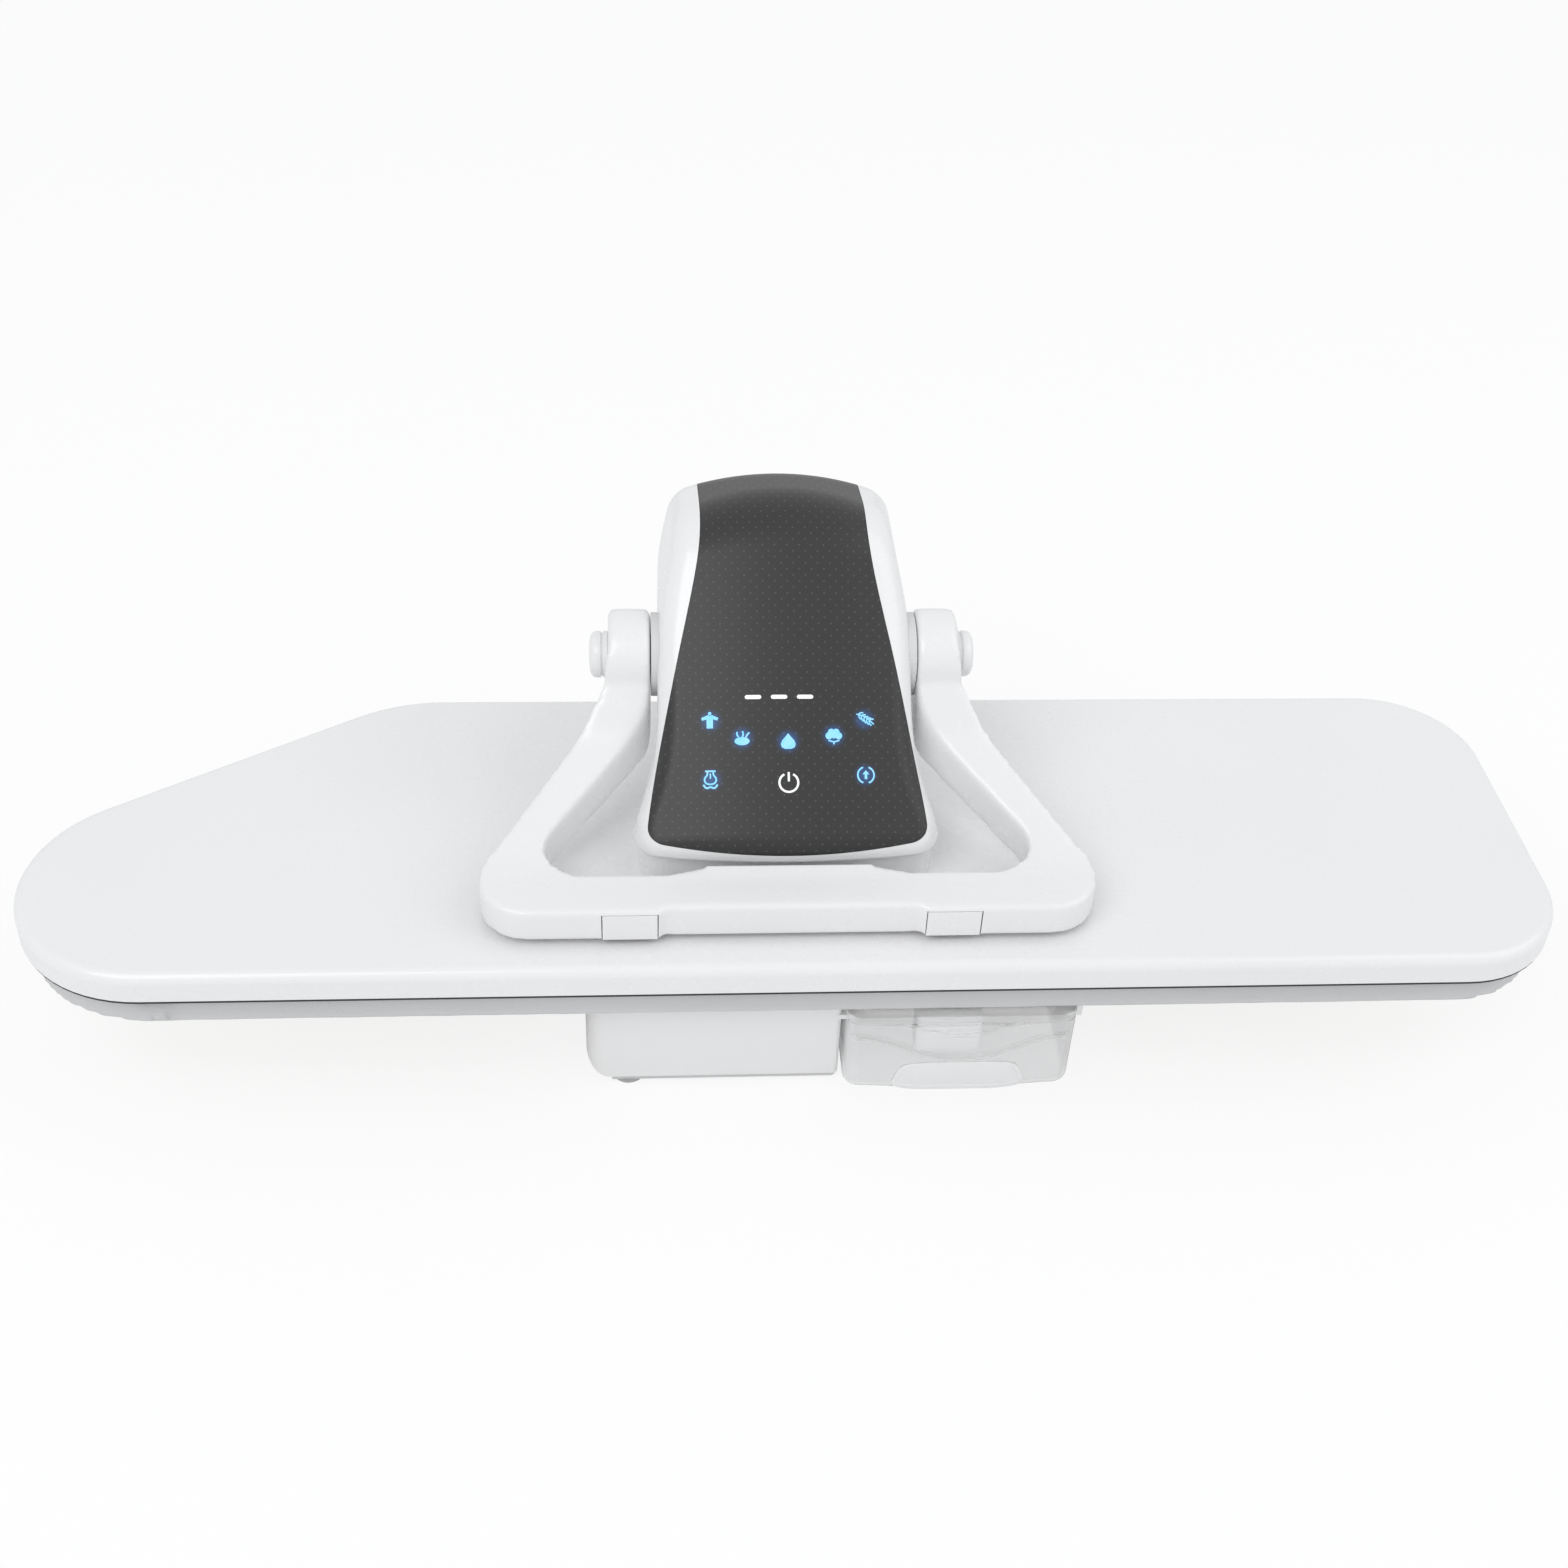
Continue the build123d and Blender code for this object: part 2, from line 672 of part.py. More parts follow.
def lift_arm():
    """The steel arm that carries the head: a foot plate and two cheeks."""
    foot_top = cover_top_z + arm_foot_thick
    outer = cheek_inner_half + cheek_thick
    arm = block(head_mid_x - arm_foot_half, head_mid_x + arm_foot_half, arm_front_y, arm_rear_y,
                cover_top_z, foot_top)
    bridge_y = cover_depth / 2 + 2 * arm_bridge_lift
    arm += block(head_mid_x - outer, head_mid_x + outer, arm_rear_y - cut_over, bridge_y,
                 foot_top, foot_top + arm_bridge_lift)
    diag = math.sqrt(0.5)
    side_view = [
        (arm_front_y, foot_top - seat_gap), (bridge_y, foot_top - seat_gap),
        (hinge_y - hinge_eye_radius * diag, hinge_z - hinge_eye_radius * diag),
        (hinge_y + hinge_eye_radius * diag, hinge_z + hinge_eye_radius * diag),
        (pivot_y + pivot_eye_radius * diag, pivot_z + pivot_eye_radius * diag),
        (pivot_y - pivot_eye_radius * diag, pivot_z + pivot_eye_radius * diag),
        (arm_front_y, foot_top + pivot_eye_radius),
    ]
    middle_z = (foot_top + pivot_z) / 2
    for side in (-1, 1):
        x0 = head_mid_x + min(side * cheek_inner_half, side * outer)
        x1 = x0 + cheek_thick
        cheek = side_plate(side_view, x0, x1)
        cheek += rod(hinge_eye_radius, x0, x1, hinge_y, hinge_z)
        cheek += rod(pivot_eye_radius, x0, x1, pivot_y, pivot_z)
        cheek -= rod(pivot_eye_radius, x0 - cut_over, x1 + cut_over, pivot_y, middle_z - pivot_eye_radius)
        cheek -= rod(pivot_eye_radius, x0 - cut_over, x1 + cut_over, pivot_y + 3 * pivot_eye_radius,
                     middle_z - pivot_eye_radius)
        arm += cheek
    span = outer + cut_over
    arm -= rod(hinge_pin_radius + pin_gap + bush_wall + pin_gap, head_mid_x - span, head_mid_x + span,
               hinge_y, hinge_z)
    arm -= rod(shaft_radius + pin_gap + bush_wall + pin_gap, head_mid_x - span, head_mid_x + span,
               pivot_y, pivot_z)
    arm -= yoke_slots(cover_top_z - cut_over, foot_top + cut_over)
    for x, y in stud_places():
        arm -= post(stud_radius + seat_gap, cover_top_z - cut_over, foot_top + cut_over, x, y)
    for x, y in cover_screw_places():
        arm -= post(screw_radius + seat_gap, cover_top_z - cut_over, foot_top + cut_over, x, y)
    keep("lift_arm", arm)

    bushes = []
    for side in (-1, 1):
        sleeve_0 = head_mid_x + min(side * cheek_inner_half, side * outer)
        flange_0 = head_mid_x + min(side * outer, side * (outer + bush_flange))
        bush = rod(shaft_radius + pin_gap + bush_wall, sleeve_0, sleeve_0 + cheek_thick, pivot_y, pivot_z)
        bush += rod(bush_flange_radius, flange_0, flange_0 + bush_flange, pivot_y, pivot_z)
        bush -= rod(shaft_radius + pin_gap, head_mid_x + side * outer - 2 * cheek_thick,
                    head_mid_x + side * outer + 2 * cheek_thick, pivot_y, pivot_z)
        bushes.append(bush)
    keep("pivot_bushes", *bushes)


def yoke_slots(z0, z1):
    """Slots that the pressure yoke's two legs pass through."""
    slots = None
    for side in (-1, 1):
        inner = yoke_half - yoke_leg_width - cut_over
        outer = yoke_half + cut_over
        x0 = head_mid_x + min(side * inner, side * outer)
        slot = block(x0, x0 + outer - inner, pivot_y - yoke_depth / 2 - cut_over,
                     pivot_y + yoke_depth / 2 + cut_over, z0, z1)
        slots = slot if slots is None else slots + slot
    return slots


def stud_places():
    """Where the four sprung studs carry the heating plate."""
    return [(head_mid_x + side * stud_pitch_x / 2, y) for side in (-1, 1)
            for y in (stud_front_y, stud_rear_y)]


def cover_screw_places():
    """Where the cover is screwed up to the lift arm's foot."""
    gap_y = (stud_rear_y - stud_front_y) / 3
    return [(head_mid_x + side * stud_pitch_x / 2, y)
            for side in (-1, 1) for y in (stud_front_y + gap_y, stud_rear_y - gap_y)]


def spigot_places():
    """Where steam enters the two chambers, in front of the lift arm."""
    offset = chamber_wall + 2 * hose_radius
    y = arm_front_y - 2 * hose_radius - chamber_wall * 2
    return [(left_chamber_x[1] - offset, y), (right_chamber_x[0] + offset, y)]


def cover_and_frame():
    """The long white cover with the insulating frame inside its skirt."""
    outer = board_slab(cover_bottom_z, cover_top_z, 0.0)
    outer = fillet(outer.faces().sort_by(Axis.Z)[-1].edges(), cover_edge_radius)
    inner = board_slab(cover_bottom_z - cut_over, cover_ceiling_z, cover_wall)
    cover = outer - inner
    boss_z = cover_ceiling_z - 2 * screw_radius
    for x, y in cover_screw_places():
        cover += post(2 * screw_radius + cut_over, boss_z, cover_ceiling_z + seat_gap, x, y)
        cover -= post(screw_radius + seat_gap, boss_z - cut_over, cover_top_z + cut_over, x, y)
    for x, y in stud_places():
        cover -= post(stud_radius + cut_over, cover_ceiling_z - cut_over, cover_top_z + cut_over, x, y)
    for x, y in spigot_places():
        cover -= post(hose_radius + cut_over, cover_ceiling_z - cut_over, cover_top_z + cut_over, x, y)
    cover -= yoke_slots(cover_ceiling_z - cut_over, cover_top_z + cut_over)
    keep("top_cover", cover)
    keep("cover_screws", *[screw_down(x, y, cover_top_z + arm_foot_thick) for x, y in cover_screw_places()])

    low = cover_bottom_z + 2 * seat_gap
    wall = cover_wall + seat_gap
    frame = board_slab(low, cover_ceiling_z, wall) - board_slab(low - cut_over, cover_ceiling_z + cut_over,
                                                               wall + frame_thick)
    ledge = board_slab(low, low + frame_thick, wall)
    ledge -= board_slab(low - cut_over, low + frame_thick + cut_over, wall + frame_ledge)
    keep("insulating_frame", frame + ledge)


def chamber_screw_places(span):
    """Corners of a steam chamber, where its lid is screwed down."""
    inset = chamber_wall + screw_head_radius / 2
    return [(x, y) for x in (span[0] + inset, span[1] - inset)
            for y in (inset - chamber_half_y, chamber_half_y - inset)]


def steam_chamber(span, z0, z1, inset):
    """One chamber's plan as a plate."""
    corner = 2 * chamber_wall - inset
    points = [(span[0] + inset, inset - chamber_half_y), (span[1] - inset, inset - chamber_half_y),
              (span[1] - inset, chamber_half_y - inset), (span[0] + inset, chamber_half_y - inset)]
    return slab(points, [corner] * 4, z0, z1)


def steam_holes(span):
    """Rows of small holes that let steam through the plate."""
    usable = span[1] - span[0] - 2 * steam_hole_pitch
    count = int(usable // steam_hole_pitch) + 1
    start = (span[0] + span[1]) / 2 - (count - 1) * steam_hole_pitch / 2
    return [(start + i * steam_hole_pitch, row * steam_hole_pitch) for i in range(count)
            for row in (-1, 0, 1)]


def element_path():
    """The sheathed heater's loop round the chambers, from terminal to terminal."""
    reach = chamber_half_y + 3 * element_radius
    rear_left = left_chamber_x[0] - 2 * element_radius
    front_left = rear_left - 2 * reach * slant_run_share / 2
    right = right_chamber_x[1] + 4 * element_radius
    end = stud_pitch_x / 2 - hanger_radius * 2
    z = plate_top_z + element_radius + seat_gap
    points = [(head_mid_x - end, reach), (rear_left, reach), (front_left, -reach), (right, -reach),
              (right, reach), (head_mid_x + end, reach)]
    return Pos(0, 0, z) * FilletPolyline(*points, radius=element_bend)


def heating_plate():
    """The aluminium plate, its heater, steam chambers and hangers. It floats a little in the head."""
    plate = board_slab(plate_bottom_z, plate_top_z, 0.0, plate_end_inset, plate_side_inset)
    plate = fillet(plate.faces().sort_by(Axis.Z)[0].edges(), cut_over)
    chamber_top = plate_top_z + chamber_height
    lids = []
    screws = []
    for span, spigot in zip((left_chamber_x, right_chamber_x), spigot_places()):
        plate += (steam_chamber(span, plate_top_z - seat_gap, chamber_top, 0.0)
                  - steam_chamber(span, plate_top_z, chamber_top + cut_over, chamber_wall))
        lid = steam_chamber(span, chamber_top, chamber_top + chamber_lid_thick, 0.0)
        lid += post(hose_radius, chamber_top, cover_top_z + hose_radius, *spigot)
        lid -= post(hose_bore, chamber_top - cut_over, cover_top_z + hose_radius + cut_over, *spigot)
        for x, y in chamber_screw_places(span):
            plate += post(screw_head_radius, plate_top_z - seat_gap, chamber_top, x, y)
            plate -= post(screw_radius + seat_gap, chamber_top + chamber_lid_thick - screw_length,
                          chamber_top + cut_over, x, y)
            lid -= post(screw_radius + seat_gap, chamber_top - cut_over,
                        chamber_top + 2 * chamber_lid_thick, x, y)
            screws.append(screw_down(x, y, chamber_top + chamber_lid_thick))
        for x, y in steam_holes(span):
            plate -= post(steam_hole_radius, plate_bottom_z - cut_over, plate_top_z + cut_over, x, y)
        lids.append(lid)
    top = plate_top_z + hanger_height
    springs = []
    for x, y in stud_places():
        plate += post(hanger_radius, plate_top_z - seat_gap, top, x, y)
        plate -= post(hanger_cavity_radius, plate_top_z, top - hanger_web, x, y)
        plate -= post(stud_radius + 2 * seat_gap, top - hanger_web - cut_over, top + cut_over, x, y)
        spring_z = plate_top_z + stud_lift + stud_head_height
        ring = post(stud_head_radius, spring_z, top - hanger_web, x, y)
        springs.append(ring - post(stud_radius + 2 * seat_gap, spring_z - cut_over, top, x, y))
    keep("heating_plate", plate)
    keep("chamber_lid_left", lids[0])
    keep("chamber_lid_right", lids[1])
    keep("lid_screws", *screws)
    keep("plate_springs", *springs)

    studs = []
    for x, y in stud_places():
        head_z = plate_top_z + stud_lift
        stud = post(stud_head_radius, head_z, head_z + stud_head_height, x, y)
        stud += post(stud_radius, head_z, cover_top_z + arm_foot_thick, x, y)
        stud += post(stud_head_radius, cover_top_z + arm_foot_thick, cover_top_z + 2 * arm_foot_thick, x, y)
        studs.append(stud)
    keep("carrier_studs", *studs)

    path = element_path()
    profile = Plane(origin=path @ 0, z_dir=path % 0) * Circle(element_radius)
    keep("heating_element", sweep(profile, path=path))

    (left_x, y), (right_x, _) = spigot_places()
    hose_z = cover_top_z + hose_radius
    arch = Plane(origin=(0, y, 0), x_dir=(1, 0, 0), z_dir=(0, -1, 0))
    hose_path = arch * FilletPolyline((left_x, hose_z), (left_x, hose_z + 4 * hose_radius),
                                      (right_x, hose_z + 4 * hose_radius), (right_x, hose_z),
                                      radius=3 * hose_radius)
    ring = Circle(hose_radius) - Circle(hose_bore)
    keep("steam_hose", sweep(Plane(origin=hose_path @ 0, z_dir=hose_path % 0) * ring, path=hose_path))

    disc_y = stud_front_y / 2
    disc = post(hanger_radius, plate_top_z, plate_top_z + chamber_height, head_mid_x, disc_y)
    disc += block(head_mid_x - 2 * screw_radius, head_mid_x + 2 * screw_radius,
                  disc_y - hanger_radius - screw_radius, disc_y + hanger_radius + screw_radius,
                  plate_top_z, plate_top_z + frame_thick)
    keep("thermal_cutout", disc)


def pressure_parts():
    """The yoke that stands on the plate, and the two cams that press it down."""
    drop = cam_radius + cam_throw * math.cos(math.radians(cam_lead_deg))
    top = pivot_z - drop - run_gap
    y0 = pivot_y - yoke_depth / 2
    y1 = pivot_y + yoke_depth / 2
    yoke = block(head_mid_x - yoke_half, head_mid_x + yoke_half, y0, y1, plate_top_z, top)
    inner = yoke_half - yoke_leg_width
    yoke -= block(head_mid_x - inner, head_mid_x + inner, y0 - cut_over, y1 + cut_over,
                  plate_top_z + yoke_foot_height, top - yoke_bar_height)
    keep("pressure_yoke", yoke)
    lean = math.radians(cam_lead_deg)
    cams = []
    for side in (-1, 1):
        x0 = head_mid_x + side * cam_mid - cam_width / 2
        cam = rod(cam_radius, x0, x0 + cam_width, pivot_y - cam_throw * math.sin(lean),
                  pivot_z - cam_throw * math.cos(lean))
        cams.append(cam - rod(shaft_radius + pin_gap, x0 - cut_over, x0 + cam_width + cut_over, pivot_y,
                              pivot_z))
    keep("pressure_cams", *cams)


def both_sides(points, radii):
    """A closed outline about the head's middle, from its right half, front to back."""
    right = [(head_mid_x + x, y) for x, y in points]
    left = [(mirrored_x(x), y) for x, y in reversed(right)]
    return right + left, radii + radii[::-1]


def handle_plan():
    """The handle seen from above: a U that opens to the back."""
    outer = arm_inner_half + arm_thick
    tip_y = pivot_y + pivot_boss_radius + cut_over
    step = button_mid - button_width / 2
    points = [
        (waist_half, bar_waist_y), (step, bar_front_y),
        (arm_corner_x, bar_front_y),
        (outer, pivot_y - arm_straight), (outer, tip_y), (arm_inner_half, tip_y),
        (arm_inner_half, pivot_y - arm_inner_straight), (inner_corner_x, inner_corner_y),
        (inner_corner_x - inner_corner_run, bar_back_y), (step - waist_step, bar_back_y),
        (back_bow_half, bar_mid_back_y),
    ]
    radii = [waist_step, waist_step, arm_corner_radius, arm_bend_radius, 0.0, 0.0, arm_bend_radius,
             inner_corner_radius, arm_bend_radius, arm_bend_radius, arm_bend_radius]
    return points, radii


def handle_side(x0, x1):
    """The handle seen from the side: a low bar whose arms rise to the pivot bosses."""
    low = bar_bottom_z
    high = bar_bottom_z + bar_height
    front = bar_front_y - cut_over
    points = [
        (front, low), (rise_low_y, low), (rise_low_mid_y, low + rise_low_lift),
        (pivot_y + pivot_boss_radius * arm_root_share, pivot_z - pivot_boss_radius * arm_root_share),
        (pivot_y, pivot_z), (pivot_y - pivot_boss_radius * arm_shoulder_share, pivot_z + waist_step),
        (rise_mid_y, high + rise_lift), (rise_y, high), (front, high),
    ]
    radii = [handle_edge / 2, rise_radius, rise_radius, waist_step, waist_step, waist_step, rise_radius,
             rise_radius, handle_edge / 2]
    return side_plate(points, x0, x1, radii) + rod(pivot_boss_radius, x0, x1, pivot_y, pivot_z)


def handle_form():
    """The handle's solid form, as the plan and the side view leave it."""
    points, radii = handle_plan()
    outline, corner = both_sides(points, radii)
    pairs = list(zip(outline, corner))
    sharp = min(radius for radius in corner if radius > 0) / 8
    plan = slab([point for point, _ in pairs], [radius if radius > 0 else sharp for _, radius in pairs],
                bar_bottom_z - cut_over, pivot_z + 2 * pivot_boss_radius)
    reach = arm_corner_x + cut_over
    return plan & handle_side(head_mid_x - reach, head_mid_x + reach)


def handle():
    """The U-shaped handle with its shaft, caps, steam buttons and switches."""
    form = handle_form()
    outer = arm_inner_half + arm_thick
    form -= rod(shaft_radius + pin_gap, head_mid_x - outer - cut_over, head_mid_x + outer + cut_over,
                pivot_y, pivot_z)
    back = bar_back_y - handle_wall
    button_back = bar_front_y + button_depth
    mouth_front = button_back + button_travel + cut_over
    roof = bar_bottom_z + bar_height - handle_wall
    form -= block(head_mid_x - grip_cavity_half, head_mid_x + grip_cavity_half, mouth_front, back,
                  bar_bottom_z - cut_over, roof)
    form -= block(head_mid_x - grip_cavity_half, head_mid_x + grip_cavity_half, bar_waist_y + handle_wall,
                  back, bar_bottom_z + under_cover_thick, roof)
    pocket_half = button_width / 2 + button_line
    plate = block(head_mid_x - grip_cavity_half + seat_gap, head_mid_x + grip_cavity_half - seat_gap,
                  mouth_front + seat_gap, back - seat_gap, bar_bottom_z, bar_bottom_z + under_cover_thick)
    switches = []
    for name, side in (("steam_button_left", -1), ("steam_button_right", 1)):
        middle = head_mid_x + side * button_mid
        form -= block(middle - pocket_half, middle + pocket_half, bar_front_y - cut_over,
                      mouth_front + seat_gap, bar_bottom_z - cut_over,
                      bar_bottom_z + button_height + button_line)
        button = block(middle - button_width / 2, middle + button_width / 2, bar_front_y, button_back,
                       bar_bottom_z, bar_bottom_z + button_height)
        button -= block(middle - button_width / 2 + handle_wall, middle + button_width / 2 - handle_wall,
                        bar_front_y + handle_wall, button_back - handle_wall, bar_bottom_z - cut_over,
                        bar_bottom_z + button_height - handle_wall)
        keep(name, fillet(button.faces().sort_by(Axis.Y)[0].edges(), button_line))
        switch_y = button_back + button_travel + run_gap
        switch_z = bar_bottom_z + under_cover_thick
        switches.append(block(middle - switch_width / 2, middle + switch_width / 2, switch_y,
                              switch_y + switch_depth, switch_z, switch_z + switch_height))
    screws = []
    for x in (head_mid_x - grip_cavity_half, head_mid_x, head_mid_x + grip_cavity_half):
        offset = (head_mid_x - x) * screw_head_radius * 2 / grip_cavity_half
        place = (x + offset, (mouth_front + back) / 2)
        form += post(2 * screw_radius, bar_bottom_z + under_cover_thick, roof + seat_gap, *place)
        form -= post(screw_radius + seat_gap, bar_bottom_z, bar_bottom_z + screw_length, *place)
        plate -= post(screw_radius + seat_gap, bar_bottom_z - cut_over,
                      bar_bottom_z + 2 * under_cover_thick, *place)
        plate -= post(screw_head_radius + seat_gap, bar_bottom_z - cut_over,
                      bar_bottom_z + under_cover_thick / 2, *place)
        head_z = bar_bottom_z + under_cover_thick / 2
        screw = post(screw_head_radius, bar_bottom_z, head_z, *place)
        screws.append(screw + post(screw_radius, head_z, bar_bottom_z + screw_length - cut_over, *place))
    keep("handle_grip", form)
    keep("handle_under_cover", plate)
    keep("handle_screws", *screws)
    keep("micro_switches", *switches)
    keep("pivot_shaft", rod(shaft_radius, head_mid_x - outer, head_mid_x + outer, pivot_y, pivot_z))

    caps = []
    collars = []
    for side in (-1, 1):
        x0 = head_mid_x + min(side * outer, side * (outer + pivot_cap_height))
        cap = rod(pivot_cap_radius, x0, x0 + pivot_cap_height, pivot_y, pivot_z)
        end = cap.faces().sort_by(Axis.X)[-1 if side > 0 else 0]
        caps.append(fillet(end.edges(), pivot_cap_edge))
        inner = arm_inner_half - run_gap
        x0 = head_mid_x + min(side * (inner - collar_length), side * inner)
        collar = rod(collar_radius, x0, x0 + collar_length, pivot_y, pivot_z)
        collars.append(collar - rod(shaft_radius + run_gap, x0 - cut_over, x0 + collar_length + cut_over,
                                    pivot_y, pivot_z))
    keep("pivot_caps", *caps)
    keep("pivot_collars", *collars)


def housing_section(level, inset):
    """One level of the housing: a plan that is wide in front, with round corners and hollow sides."""
    share = housing_level_shares[level]
    front = housing_front_y + inset
    rear = housing_rear_y - inset
    wide = housing_front_halves[level] - inset
    waist = housing_waist_halves[level] - inset
    narrow = housing_rear_halves[level] - inset
    with BuildLine() as line:
        Line((-wide, front), (wide, front))
        ThreePointArc((wide, front), (waist, housing_waist_y), (narrow, rear))
        Line((narrow, rear), (-narrow, rear))
        ThreePointArc((-narrow, rear), (-waist, housing_waist_y), (-wide, front))
    face = make_face(line.line)
    face = fillet([v for v in face.vertices() if v.Y < housing_waist_y], housing_front_radius - inset)
    face = fillet(face.vertices().group_by(Axis.Y)[-1], housing_rear_radius - inset)
    drop = cut_over if level == 0 and inset > 0 else 0
    return Pos(head_mid_x, 0, cover_top_z + share * slope_top_lift - drop) * face


def housing_profile(x, inset):
    """The housing's side view at a distance from its middle, lowered to give it its crowns."""
    share = (x / housing_crown_half) ** 2
    drop = housing_crown_drop * share
    fall = crest_fall * share
    floor = cover_top_z - housing_rear_radius
    shift = Vector(0, drop * math.sqrt(0.5), -drop * math.sqrt(0.5))
    plane = Plane(origin=Vector(head_mid_x + x, 0, 0) + shift, x_dir=(0, 1, 0), z_dir=(1, 0, 0))
    low_front = slope_foot_y - front_lean + inset
    rear = housing_rear_y + cut_over - inset
    corner = inset * (math.sqrt(2) - 1)
    points = [(low_front, floor), (slope_foot_y + inset, cover_top_z + slope_foot_lift - corner),
              (slope_top_y - fall, cover_top_z + slope_top_lift - fall - inset * math.sqrt(2)),
              (rear, cover_top_z + crest_rear_lift - fall - inset), (rear, floor)]
    radii = [inset + cut_over, rim_radius - inset, crest_radius - inset, rear_crest_radius - inset,
             inset + cut_over]
    return plane * make_face(FilletPolyline(*points, radius=radii, close=True))


def housing_form(inset):
    """The housing's outer form, drawn in by an inset: tapered walls under a crowned slope."""
    walls = loft([housing_section(level, inset) for level in range(len(housing_level_shares))])
    stations = [housing_crown_half * share for share in crown_station_shares]
    slope = loft([housing_profile(x, inset) for x in stations])
    form = walls & slope
    side_edges = [edge for edge in form.edges() if abs(edge.center().X - head_mid_x) > waist_half / 3]
    upper = [edge for edge in side_edges if edge.center().Z > cover_top_z + rim_radius]
    form = fillet(upper, housing_edge_radius - inset)
    reach = 2 * housing_crown_half
    lip_z = cover_top_z + lip_lift + inset
    hood = form & block(head_mid_x - reach, head_mid_x + reach, housing_front_y - reach,
                        housing_rear_y + reach, lip_z, lip_z + 2 * reach)
    if inset == 0:
        hood = fillet(hood.faces().sort_by(Axis.Z)[0].edges(), lip_edge_radius)
    low_z = cover_top_z - (cut_over if inset > 0 else 0)
    foot = block(head_mid_x - reach, head_mid_x + reach, housing_front_y - reach, housing_rear_y + reach,
                 low_z, lip_z + cut_over)
    foot &= extrude(housing_section(0, lip_undercut + inset), lip_lift + 2 * lip_undercut)
    form = hood + foot
    relief = hinge_relief + inset
    return form - rod(relief, head_mid_x - reach, head_mid_x + reach, hinge_y, hinge_z)


def slope_plane():
    """The control panel's plane, with its origin at the foot of the slope."""
    run = slope_top_y - slope_foot_y
    rise = slope_top_lift - slope_foot_lift
    return Plane(origin=(head_mid_x, slope_foot_y, cover_top_z + slope_foot_lift), x_dir=(1, 0, 0),
                 z_dir=(0, -rise, run))


def panel_prism(grow):
    """A prism square to the slope, with the control panel's outline, above the housing's lip."""
    side = [(panel_half * half + grow, panel_top_v * v) for half, v in panel_side_shares]
    low = (0, -panel_bow - grow)
    with BuildLine() as line:
        right = Spline(*side)
        bottom = ThreePointArc((panel_foot_half, panel_foot_v - grow), low,
                               (-panel_foot_half, panel_foot_v - grow))
        left = Spline(*[(-x, v) for x, v in side])
        Line(right @ 1, left @ 1)
        Spline(bottom @ 0, right @ 0, tangents=[bottom % 0 * -1, right % 0])
        Spline(bottom @ 1, left @ 0, tangents=[bottom % 1, left % 0])
    face = slope_plane() * make_face(line.line)
    reach = 2 * housing_crown_half
    low = cover_top_z + lip_lift + housing_wall + seat_gap
    above_lip = block(head_mid_x - reach, head_mid_x + reach, housing_front_y - reach, housing_rear_y + reach,
                      low, low + 2 * reach)
    return extrude(face, panel_depth, both=True) & above_lip


def panel_post(radius, u, v, depth_0, depth_1):
    """A round post square to the slope, between two depths below it."""
    return slope_plane() * Pos(u, v, -depth_1) * Cylinder(radius, depth_1 - depth_0,
                                                          align=(Align.CENTER, Align.CENTER, Align.MIN))


def panel_block(u, v, length, width):
    """A light bar's block square to the slope, down to the control board."""
    return slope_plane() * Pos(u, v, -pcb_drop) * Box(length, width, pcb_drop + cut_over,
                                                      align=(Align.CENTER, Align.CENTER, Align.MIN))


def light_places():
    """The touch symbols' places on the panel and their radii."""
    symbols = [(side * panel_half * half, panel_top_v * v, icon_radius)
               for half, v in icon_place_shares for side in (-1, 1)]
    return symbols + [(0, icon_mid_v, icon_radius), (0, power_v, power_radius)]


def housing():
    """The housing shell with its glass panel, light guides and control board."""
    outer = housing_form(0.0)
    inner = housing_form(housing_wall)
    glass_floor = housing_form(glass_thick)
    recess_floor = housing_form(glass_thick + seat_gap)
    shell = outer - inner
    shell -= panel_prism(panel_line) - recess_floor
    glass = (outer & panel_prism(0.0)) - glass_floor
    board_top = pcb_drop
    board_low = pcb_drop + pcb_thick
    mid_v = (bar_light_v + power_v) / 2
    for u in (-pcb_width / 2, pcb_width / 2):
        for v in (mid_v - pcb_length / 2, mid_v + pcb_length / 2):
            inset_u = u - math.copysign(pcb_post_radius, u)
            inset_v = v - math.copysign(pcb_post_radius, v - mid_v)
            crown = housing_crown_drop * (inset_u / housing_crown_half) ** 2
            shell += panel_post(pcb_post_radius, inset_u, inset_v,
                                crown + (glass_thick + housing_wall) / 2, board_top)
    board = slope_plane() * Pos(0, mid_v, -board_low) * Box(pcb_width, pcb_length, pcb_thick,
                                                           align=(Align.CENTER, Align.CENTER, Align.MIN))
    guides = []
    guide_space = housing_form(glass_thick + 2 * seat_gap)
    for u, v, radius in light_places():
        guides.append(panel_post(radius - cut_over, u, v, -cut_over, board_top) & guide_space)
        shell -= panel_post(radius - cut_over + seat_gap, u, v, -cut_over, board_top)
    for i in (-1, 0, 1):
        u = bar_light_u + i * bar_light_pitch
        guides.append(panel_block(u, bar_light_v, bar_light_length, bar_light_width) & guide_space)
        shell -= panel_block(u, bar_light_v, bar_light_length + 2 * seat_gap, bar_light_width + 2 * seat_gap)
    keep("light_guides", *guides)
    keep("control_board", board)

    for side in (-1, 1):
        shell -= rod(collar_radius + seat_gap, head_mid_x + min(0, side * 2 * housing_crown_half),
                     head_mid_x + max(0, side * 2 * housing_crown_half), pivot_y, pivot_z)
    shell -= block(head_mid_x - neck_half - seat_gap, head_mid_x + neck_half + seat_gap,
                   housing_rear_y - hinge_relief, housing_rear_y + cut_over, cover_top_z - cut_over,
                   cover_top_z + neck_notch_lift)
    keep("housing_shell", shell)
    keep("panel_glass", glass)


